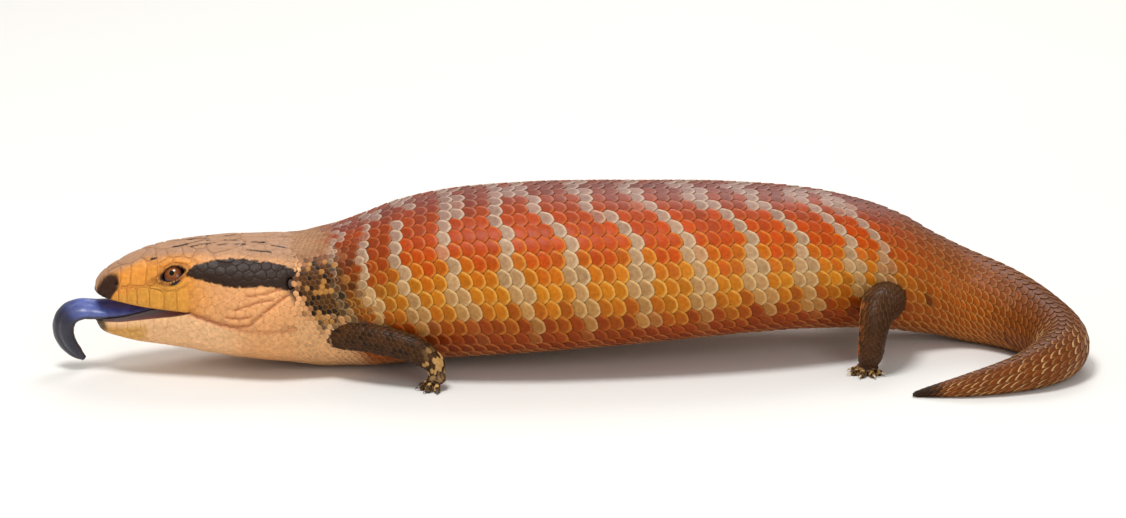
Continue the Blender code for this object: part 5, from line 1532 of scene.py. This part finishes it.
# Colours of the limbs, where the pale hand and the tan thigh start in mm down the leg, and where the tan is
# across the thigh.
LIMB_DARK, LIMB_BROWN, LIMB_RIM = seen(42, 27, 14), seen(78, 48, 24), seen(110, 74, 44)
HAND_PALE, THIGH_TAN, THIGH_RIM = seen(214, 168, 104), seen(168, 88, 40), seen(206, 132, 74)
HIND_CLAW, FORE_CLAW = seen(206, 182, 150), seen(92, 70, 54)
HAND_START_MM, THIGH_START_MM, THIGH_MIDDLE, THIGH_SPREAD = (43, 46), (20, 28), 0.36, 0.14


def limb_marks(name):
    """Colours of one leg's scales: dark, with a mottled pale hand or a tan front edge on the thigh."""
    def marks(along, across, draw):
        s = along / MM
        least = 0.0 if name.startswith("fore") else 0.45
        brown = least + (1 - least) * chance(draw * 37, 2.0)
        ground = mixed(all_over(LIMB_DARK, s), LIMB_BROWN, brown)
        pair = ground, mixed(ground, LIMB_RIM, 0.5)
        spotted = chance(draw * 71, 5.0)
        if name.startswith("fore"):
            pale = (spotted > 0.52) * step(*HAND_START_MM, s + draw * 2)
            return stained(pair, pale * 0.8, HAND_PALE, pale)
        front = 1.0 if name.endswith("left") else -1.0
        tan = bell(across * front - THIGH_MIDDLE, THIGH_SPREAD) * step(*THIGH_START_MM, s) * (spotted > 0.25)
        return stained(pair, tan, THIGH_TAN, rim=THIGH_RIM)
    return marks


def toe_marks(name):
    """Colours of one foot's toes: dark, with many pale scales on the hands and fewer on the feet."""
    least = 0.6 if name.startswith("hind") else 0.45

    def marks(along, across, draw):
        dark = all_over(LIMB_DARK, along)
        pale = (chance(draw * 33, 1.0) > least) * 0.85
        return stained((dark, dark), pale, HAND_PALE, 0.3 + 0.6 * pale)
    return marks


# Columns of a leg's and a toe's sheet, sides of their skin, and the palm's ball.
LEG_COLUMNS, TOE_COLUMNS, LEG_SIDES, TOE_SIDES = 61, 25, 40, 14
PALM_DROP, PALM_HALF_HEIGHT, PALM_INSET = 1.1 * MM, 2.2 * MM, 0.2 * MM


def leg_sheet(name):
    """A leg from inside the body down into its palm."""
    foot = {row[0]: key for key, row in FEET_MM.items()}[name]
    rows = np.vstack([LEGS_MM[name], [*FEET_MM[foot][1], LEGS_MM[name][-1][3] * 0.72]])
    joints = place(rows[:, 0] * MM, rows[:, 1] * MM, rows[:, 2] * MM)
    line = curve_through(np.column_stack([joints, rows[:, 3] * MM - SKIN_DEPTH]), 10)

    def creases(row):
        return 1 - 0.035 * np.maximum(0, np.cos(row * 0.9)) ** 6

    return foot, tube_sheet(line[:, :3], line[:, 3], line[:, 3] * 0.94, LEG_COLUMNS, creases)


# Sections down a toe: the share of its length, how much of the root's height and of the toe's resting height
# goes into its height there, and the share of its radius.
TOE_ROWS = ((0, 1, 0, 1), (0.5, 0.45, 0.55, 1), (0.85, 0, 1, 0.96), (1, 0, 0.96, 0.8),
            (1.08, 0, 0.9, 0.35))
# Sections down a claw: the share of its length, the share of the toe's resting height, and its radius in mm.
CLAW_ROWS_MM = ((-0.25, 0.95, 0.3), (0.1, 1.15, 0.48), (0.5, 1.1, 0.36), (0.8, 0.75, 0.2), (1, 0.3, 0.04))


def toe_paths(foot):
    """Each toe of a foot: its path and radii, and the path and radii of its claw."""
    _, palm_mm, half_width, heading, spread, lengths = FEET_MM[foot]
    palm = place(*(np.array(palm_mm) * MM))
    _, back, left = spine_at(palm_mm[0] * MM)
    found = []
    for i, length in enumerate(lengths):
        turn = math.radians(heading + spread * (0.5 - i / (len(lengths) - 1)))
        way = np.array([*(-back * math.cos(turn) + left * math.sin(turn)), 0.0])
        root = palm + way * half_width * 0.55 * MM
        root[2] = palm[2] - (2.0 - 0.13 * ((2 * i) % 5)) * MM
        reach = (length + half_width * 0.45) * MM
        drop = TOE_RADIUS * 0.85
        rows, claw = [], []
        for share, of_root, of_drop, wide in TOE_ROWS:
            height = of_root * root[2] + of_drop * drop
            rows.append([*(root + way * reach * share)[:2], height, wide * (TOE_RADIUS - 0.1 * MM)])
        tip = root + way * reach
        for share, of_drop, wide in CLAW_ROWS_MM:
            claw.append([*(tip + way * CLAW_LENGTH * share)[:2], of_drop * drop, wide * MM])
        found.append((curve_through(rows, 6), curve_through(claw, 5)))
    return palm, half_width * MM, found


def join(first, others, solver):
    """Joins closed pieces into the first, by a boolean of the solver's kind, so that only the outside of them
    all is left."""
    group = bpy.data.collections.new("joined")
    bpy.context.scene.collection.children.link(group)
    for piece in others:
        bpy.context.scene.collection.objects.unlink(piece)
        group.objects.link(piece)
    modifier = first.modifiers.new("Join", "BOOLEAN")
    modifier.operation, modifier.solver = "UNION", solver
    modifier.operand_type, modifier.collection = "COLLECTION", group
    mesh = bpy.data.meshes.new_from_object(first.evaluated_get(bpy.context.evaluated_depsgraph_get()))
    first.modifiers.clear()
    first.data = mesh
    for piece in others:
        bpy.data.objects.remove(piece)
    bpy.data.collections.remove(group)
    return first


def skin_and_legs(skin_material, scale_material):
    """The one skin, and the scales of the legs and feet."""
    body = body_hide()
    hides = [body]
    whole = body.build("skin")
    body_tree = tree_of(whole)
    legs, sheets, claws = [], {}, []
    for name in LEGS_MM:
        foot, sheet = leg_sheet(name)
        sheets[name] = sheet
        leg_hide = sheet_hide(sheet, LEG_SIDES, limb_marks(name))
        hides.append(leg_hide)
        leg = leg_hide.build(name)
        palm, wide, toes = toe_paths(foot)
        wide -= PALM_INSET
        parts = [ball("palm", palm - (0.0, 0.0, PALM_DROP), np.array((wide, wide, PALM_HALF_HEIGHT)))]
        for toe, claw in toes:
            toe_sheet = tube_sheet(toe[:, :3], toe[:, 3], toe[:, 3], TOE_COLUMNS)
            toe_hide = sheet_hide(toe_sheet, TOE_SIDES, toe_marks(name))
            hides.append(toe_hide)
            sheets[f"toe {len(sheets)} {name}"] = toe_sheet
            parts.append(toe_hide.build("toe"))
            claws.append((name, claw))
        legs.append(join(leg, parts, "EXACT"))
    leg_trees = [tree_of(leg) for leg in legs]
    whole = join(whole, legs, "MANIFOLD")
    soften(whole)
    colour_skin(whole.data, hides)
    whole.data.materials.clear()
    whole.data.materials.append(skin_material)
    finish_piece(whole)
    return whole, body_tree, leg_trees, sheets, claws


def tree_of(piece):
    shape = bmesh.new()
    shape.from_mesh(piece.data)
    tree = BVHTree.FromBMesh(shape)
    shape.free()
    return tree


# How near the legs' roots the skin is softened, and how often.
SOFT_REACH, SOFT_TURNS = 9.5 * MM, 6


def soften(piece):
    """Rounds the folds where the legs leave the body and keeps the soles on the floor."""
    shape = bmesh.new()
    shape.from_mesh(piece.data)
    bmesh.ops.remove_doubles(shape, verts=shape.verts, dist=0.02 * MM)
    rows = [leg[k] for leg in LEGS_MM.values() for k in (1, 2)]
    roots = [Vector(place(row[0] * MM, row[1] * MM, row[2] * MM)) for row in rows]
    near = [v for v in shape.verts if min((v.co - root).length for root in roots) < SOFT_REACH]
    axes = {"use_axis_x": True, "use_axis_y": True, "use_axis_z": True}
    for _ in range(SOFT_TURNS):
        bmesh.ops.smooth_vert(shape, verts=near, factor=0.5, **axes)
    for vert in shape.verts:
        vert.co.z = max(vert.co.z, LOWEST_SKIN)
    bmesh.ops.dissolve_degenerate(shape, edges=shape.edges, dist=0.005 * MM)
    bmesh.ops.triangulate(shape, faces=[f for f in shape.faces if len(f.verts) > 4])
    bmesh.ops.recalc_face_normals(shape, faces=shape.faces)
    shape.to_mesh(piece.data)
    shape.free()
    piece.data.shade_smooth()


def colour_skin(mesh, hides):
    """Gives each point of the joined skin the colours of the nearest point it was built from."""
    known, colours, wet, bare = (
        np.concatenate([np.concatenate(getattr(hide, kind)) for hide in hides])
        for kind in ("points", "colours", "wet", "bare"))
    finder = KDTree(len(known))
    for i, point in enumerate(known):
        finder.insert(point, i)
    finder.balance()
    nearest = [finder.find(v.co)[1] for v in mesh.vertices]
    for layer in list(mesh.color_attributes):
        mesh.color_attributes.remove(layer)
    paint(mesh, "marking", colours[nearest])
    for name, values in (("lining", wet), ("bare", bare)):
        layer = mesh.attributes.new(name, "FLOAT", "POINT")
        layer.data.foreach_set("value", values[nearest].astype(np.float32))


# Scales of the legs, then of the toes: rows around, lengths in mm, lean, height, tilt, and how high over the
# floor they end.
LEG_ROWS, LEG_LENGTHS = {"fore": 18, "hind": 22}, ((0, 2.3), (30, 2), (60, 1.7))
LEG_LEAN_CELLS, LEG_LEAN = 2, 0.3
LEG_DOME, LEG_TILT, LEG_SCALES_OVER, BODY_MARGIN = 0.13 * MM, 0.06, 0.4 * MM, -0.2 * MM
TOE_SCALE_ROWS, TOE_LENGTHS = 6, ((0, 0.95), (9, 0.95))
TOE_DOME, TOE_TILT, TOE_SCALES_OVER = 0.09 * MM, 0.04, 0.35 * MM


def limb_unwrap(sheet, number, low, tall):
    """Places of one leg's or toe's scales on the unwrap, where each leg has a strip of its own."""
    def places(along, across):
        return 0.02 + 0.23 * number + 0.2 * (across + 1) / 2, low + tall * along / sheet.alongs[-1]
    return places


def limb_scales(material, sheets, body_tree):
    """Small glossy scales on the legs, and the toes' cross scales."""
    for number, name in enumerate(LEGS_MM):
        coat, sheet = Coat(), sheets[name]
        rows = LEG_ROWS[name[:4]]
        along, across, long = lattice(0.0, sheet.alongs[-1] / MM - 1.2, rows, LEG_LEAN_CELLS, LEG_LENGTHS)
        points = sheet.read(along, across)[0]
        keep = away_from(body_tree, points, BODY_MARGIN) & (points[:, 2] > LEG_SCALES_OVER)
        along, across, long = along[keep], across[keep], long[keep]
        colours = limb_marks(name)(along, across, draws(along, across, 5.0 + number))
        unwrap = limb_unwrap(sheet, number, 0.02, 0.6)
        wide = 2 * sheet.half(along) / rows
        lay_scales(coat, sheet, along, across, long, wide, LEG_LEAN, LEG_DOME, colours, unwrap, LEG_TILT)
        for key, toe in sheets.items():
            if key.startswith("toe") and key.endswith(name):
                toe_scales(coat, toe, name, number, int(key.split()[1]) % 25)
        finish_piece(coat.build("scales_" + name, material))


def toe_scales(coat, toe, name, leg_number, toe_number):
    """The scales of one toe, added to its leg's coat."""
    along, across, long = lattice(0.8, toe.alongs[-1] / MM - 0.3, TOE_SCALE_ROWS, 0.0, TOE_LENGTHS)
    keep = toe.read(along, across)[0][:, 2] > TOE_SCALES_OVER
    along, across, long = along[keep], across[keep], long[keep]
    colours = toe_marks(name)(along, across, draws(along, across, 7.0))
    unwrap = limb_unwrap(toe, leg_number, 0.7 + 0.01 * toe_number, 0.03)
    wide = 2 * toe.half(along) / TOE_SCALE_ROWS
    lay_scales(coat, toe, along, across, long, wide, 0.0, TOE_DOME, colours, unwrap, TOE_TILT)


CLAW_COLUMNS, CLAW_SIDES = 17, 12


def claw_piece(material, claws):
    """All the claws: short curved horn cones, dark on the hands and pale on the feet."""
    hide = Hide()
    for name, claw in claws:
        sheet = tube_sheet(claw[:, :3], claw[:, 3] * 0.8, claw[:, 3], CLAW_COLUMNS)
        colour = HIND_CLAW if name.startswith("hind") else FORE_CLAW
        ring = None
        for i, along in enumerate(sheet.alongs):
            share = i / (len(sheet.alongs) - 1)
            tint = mixed(colour * 0.45, colour, step(0.0, 0.5, share))
            turns = np.linspace(-1, 1, CLAW_SIDES, endpoint=False)
            ring = hide.grow(ring, sheet.read(np.full(CLAW_SIDES, along), turns)[0], tint)
        hide.cap(ring)
    piece = hide.build("claws")
    piece.data.shade_smooth()
    paint(piece.data, "marking", np.concatenate(hide.colours))
    piece.data.materials.append(material)
    finish_piece(piece)


# How far behind the pupil the back of the eye counts as, mm, so that it takes the outermost colour.
BACK_OF_EYE_MM, EYE_RINGS, EYE_SEGMENTS = 9, 48, 64


def eyes(material):
    """Both eyeballs, with where each point lies from the middle of the pupil, in mm."""
    for left, side in ((True, "left"), (False, "right")):
        low, high = (np.array(v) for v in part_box(f"eye_{side}"))
        centre, radius = (low + high) / 2, (high - low).max() / 2
        around = np.array([EYE_PLACE_MM[1] * MM * (1 if left else -1)])
        here = np.array([EYE_PLACE_MM[0] * MM])
        spot = HEAD_BARE.read(here, around / HEAD_BARE.half(here))[0][0]
        out = unit(spot - centre)
        _, back, _ = spine_at(EYE_ALONG)
        along = np.array([*back, 0.0])
        along = unit(along - out * (along @ out))
        up = np.cross(along, out)
        up *= np.sign(up[2])
        radius = min(radius, EYE_RADIUS)
        axes = (along, up, out)
        piece = ball(f"eye_ball_{side}", centre, np.full(3, radius), EYE_RINGS, EYE_SEGMENTS, axes)
        points = np.empty(len(piece.data.vertices) * 3)
        piece.data.vertices.foreach_get("co", points)
        local = (points.reshape(-1, 3) - centre) / MM
        gaze = np.stack([local @ along, local @ up, np.where(local @ out < 0, BACK_OF_EYE_MM, 0.0)], -1)
        layer = piece.data.attributes.new("gaze", "FLOAT_VECTOR", "POINT")
        layer.data.foreach_set("vector", gaze.astype(np.float32).reshape(-1))
        piece.data.materials.append(material)
        finish_piece(piece)
        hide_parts(f"eye_{side}")


# The scales on each lid: how many, how far out from the opening, their half length and height, then their
# height over the skin, half of their seam and their depth under the skin. The last five are in mm.
LID_SCALES, LID_SCALES_REACH, LID_SCALE_LONG, LID_SCALE_TALL = 28, 1.38, 0.46, 0.4
LID_PLATE_MM, LID_ROOT_MM = (0.16, 0.03), 0.4


def lids(material):
    """A ring of small scales on the lids round each eye."""
    coat = Coat()
    corners = [(-LID_SCALE_LONG, -LID_SCALE_TALL), (LID_SCALE_LONG, -LID_SCALE_TALL)]
    corners += [(LID_SCALE_LONG, LID_SCALE_TALL), (-LID_SCALE_LONG, LID_SCALE_TALL)]
    (place_a, place_r), (wide, tall), (rise, gap) = EYE_PLACE_MM, EYE_OPENING_MM, LID_PLATE_MM
    for side in (1.0, -1.0):
        for i in range(LID_SCALES):
            turn = 2 * PI * (i + 0.5) / LID_SCALES
            c, s = math.cos(turn), math.sin(turn)
            grow = (abs(c) ** ALMOND + abs(s) ** ALMOND) ** (-1 / ALMOND) * LID_SCALES_REACH
            middle = np.array([place_a + wide * c * grow, place_r - tall * s * grow])
            way = unit(np.array([-s * wide, -c * tall]))
            out = np.array([-way[1], way[0]])
            outline = [middle + way * u + out * v for u, v in corners]
            draw = chance(i, side).item()
            lay_plate(coat, UPPER, outline, rise, lid_marks, draw, side < 0, gap, LID_ROOT_MM,
                      LID_PLATE_SIDES)
    finish_piece(coat.build("eyelid_scales", material))


def lid_marks(along, around, draw):
    """Colours of the small scales round the eye."""
    ground = mixed(all_over(LID_OCHRE, along), EYE_RING, (draw > 0.5) * 0.5)
    return ground, mixed(ground, SEAM, 0.5)


# The tongue's colours: blue above, painted shade below, and a painted shaded tip. Then its groove and its
# ripples.
TONGUE_BLUE, TONGUE_EDGE, TONGUE_UNDER_SHADE = seen(80, 96, 168), seen(118, 124, 180), seen(52, 46, 48)
TONGUE_TIP_SHADE, TONGUE_TIP_UNDER_SHADE, TONGUE_TIP_SHADE_START = seen(34, 29, 38), seen(46, 31, 22), (0.42, 0.6)
GROOVE_DEPTH, GROOVE_WIDTH, RIPPLE_HEIGHT, TONGUE_SIDES = 0.28 * MM, 0.16, 0.07 * MM, 56
TONGUE_INSET_MM, TONGUE_SQUARE = (0.12, 0.1), (0.9, 0.85)


def tongue(material):
    """The tongue: a broad soft strap with a groove down its middle, rounded edges and a rounded tip."""
    rows = np.asarray(TONGUE_MM)
    path = place(rows[:, 0] * MM, 0.0, rows[:, 1] * MM)
    line = curve_through(np.column_stack([path, rows[:, 2:]]), 10)
    _, _, left = spine_at(0.0)
    side = np.array([*left, 0.0])
    sides, normals = frames_along(line[:, :3], side, line[:, 5])
    hide, ring = Hide(), None
    turns = np.linspace(0, 2 * PI, TONGUE_SIDES, endpoint=False)
    c, s = np.cos(turns), np.sin(turns)
    upper = step(-0.1, 0.35, s)
    for i, (x, y, z, wide, deep, _) in enumerate(line):
        flat = np.sign(c) * np.abs(c) ** TONGUE_SQUARE[0] * (wide - TONGUE_INSET_MM[0]) * MM
        rise = np.sign(s) * np.abs(s) ** TONGUE_SQUARE[1] * (deep - TONGUE_INSET_MM[1]) * MM
        rise = rise - GROOVE_DEPTH * bell(c, GROOVE_WIDTH) * (s > 0) * min(1, wide / 4)
        flat = flat + RIPPLE_HEIGHT * np.sin(i * 0.8 + 2 * np.sin(turns * 3)) * np.abs(c) ** 3
        points = np.array([x, y, z]) + sides[i] * flat[:, None] + normals[i] * rise[:, None]
        # The underside is painted shade, and towards the tip the colours go over to a painted shaded tip.
        share = step(*TONGUE_TIP_SHADE_START, i / len(line))
        colour = mixed(all_over(TONGUE_UNDER_SHADE, turns), TONGUE_BLUE, upper)
        colour = mixed(colour, TONGUE_EDGE, np.abs(c) ** 6 * upper * 0.5)
        tip = mixed(TONGUE_TIP_UNDER_SHADE, TONGUE_TIP_SHADE, upper)
        ring = hide.grow(ring, points, mixed(colour, tip, np.full(TONGUE_SIDES, share * 0.96)))
    hide.cap(ring)
    piece = hide.build("tongue_flesh")
    piece.data.shade_smooth()
    paint(piece.data, "marking", np.concatenate(hide.colours))
    piece.data.materials.append(material)
    finish_piece(piece)
    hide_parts("tongue")


# The head without its folds, on which the middle of each pupil is found, and the solids that the skin covers.
HEAD_BARE = body_sheet(HEAD_PLACES, PI, 0, False, None)
LIMBS = ("foreleg", "forefoot", "hindleg", "hindfoot")
SKINNED = ["head", "lower_jaw", "neck", "chest", "belly", "hips", "tail_root", "tail_bend", "tail_tip"]
SKINNED += [f"{limb}_{side}" for limb in LIMBS for side in ("left", "right")]


class AllTrees:
    """Several closed forms asked at once: the nearest surface of them all."""

    def __init__(self, trees):
        self.trees = trees

    def find_nearest(self, point, reach):
        found = [t.find_nearest(point, reach) for t in self.trees]
        found = [f for f in found if f[0] is not None]
        return min(found, key=lambda f: f[3]) if found else (None, None, None, None)


# The studio: the floor's half size, the sky, and each lamp's name, place, what it points at, size and watts.
FLOOR_HALF, SKY, SKY_STRENGTH = 6, (1, 0.985, 0.96, 1), 0.5
LAMPS = (
    ("key", (-0.25, -0.3, 1.3), (0, 0, 0.02), 0.45, 13),
    ("fill", (0.5, -1.3, 0.7), (0, 0, 0.03), 0.8, 4.5),
    ("back", (0.2, 0.9, 0.95), (0, 0, 0.03), 0.7, 6),
)
# The camera: how far it looks down, how far away it is, how wide a part it shows, and its middle.
CAMERA_DOWN, CAMERA_DISTANCE = math.radians(16), 1.5
SENSOR_MM, SHOWN, CAMERA_TARGET_MM = 36, 376.1 * MM, (-2.64, -7.65, 31.94)
CLIP = (0.01, 100)


def studio():
    """A pale floor, a pale soft sky, three large lamps and the camera."""
    corners = [(x * FLOOR_HALF, y * FLOOR_HALF, 0) for x, y in ((-1, -1), (1, -1), (1, 1), (-1, 1))]
    mesh = bpy.data.meshes.new("studio_floor")
    mesh.from_pydata(corners, [], [(0, 1, 2, 3)])
    mesh.materials.append(floor_finish())
    floor = new_piece("studio_floor", mesh)
    world = bpy.data.worlds.new("studio_sky")
    world.use_nodes = True
    background = world.node_tree.nodes["Background"]
    background.inputs[0].default_value = SKY
    background.inputs[1].default_value = SKY_STRENGTH
    bpy.context.scene.world = world
    for name, spot, aim, size, power in LAMPS:
        lamp = bpy.data.lights.new(name, "AREA")
        lamp.size, lamp.energy, lamp.shape = size, power, "DISK"
        holder = new_piece(name, lamp)
        holder.location = spot
        holder.rotation_euler = (Vector(aim) - Vector(spot)).to_track_quat("-Z", "Y").to_euler()
    lens = bpy.data.cameras.new("camera")
    lens.sensor_width, lens.lens = SENSOR_MM, SENSOR_MM * CAMERA_DISTANCE / SHOWN
    lens.clip_start, lens.clip_end = CLIP
    camera = new_piece("camera", lens)
    target = Vector(CAMERA_TARGET_MM) * MM
    away = Vector((0, -math.cos(CAMERA_DOWN), math.sin(CAMERA_DOWN)))
    camera.location = target + away * CAMERA_DISTANCE
    camera.rotation_euler = (PI / 2 - CAMERA_DOWN, 0, 0)
    bpy.context.scene.camera = camera
    bpy.context.scene.view_settings.view_transform = "Standard"


scales, shields = scale_finish(), shield_finish()
skin, body_tree, leg_trees, leg_sheets, claws = skin_and_legs(skin_finish(), scales)
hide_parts(*SKINNED)
body_scales(scales, AllTrees(leg_trees))
limb_scales(scales, leg_sheets, body_tree)
head_plates(shields)
jaw_plates(shields)
claw_piece(claw_finish(), claws)
eyes(eye_finish())
lids(shields)
tongue(tongue_finish())
for side in ("left", "right"):
    for slot_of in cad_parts[f"eardrum_{side}"].material_slots:
        slot_of.material = drum_finish()
studio()
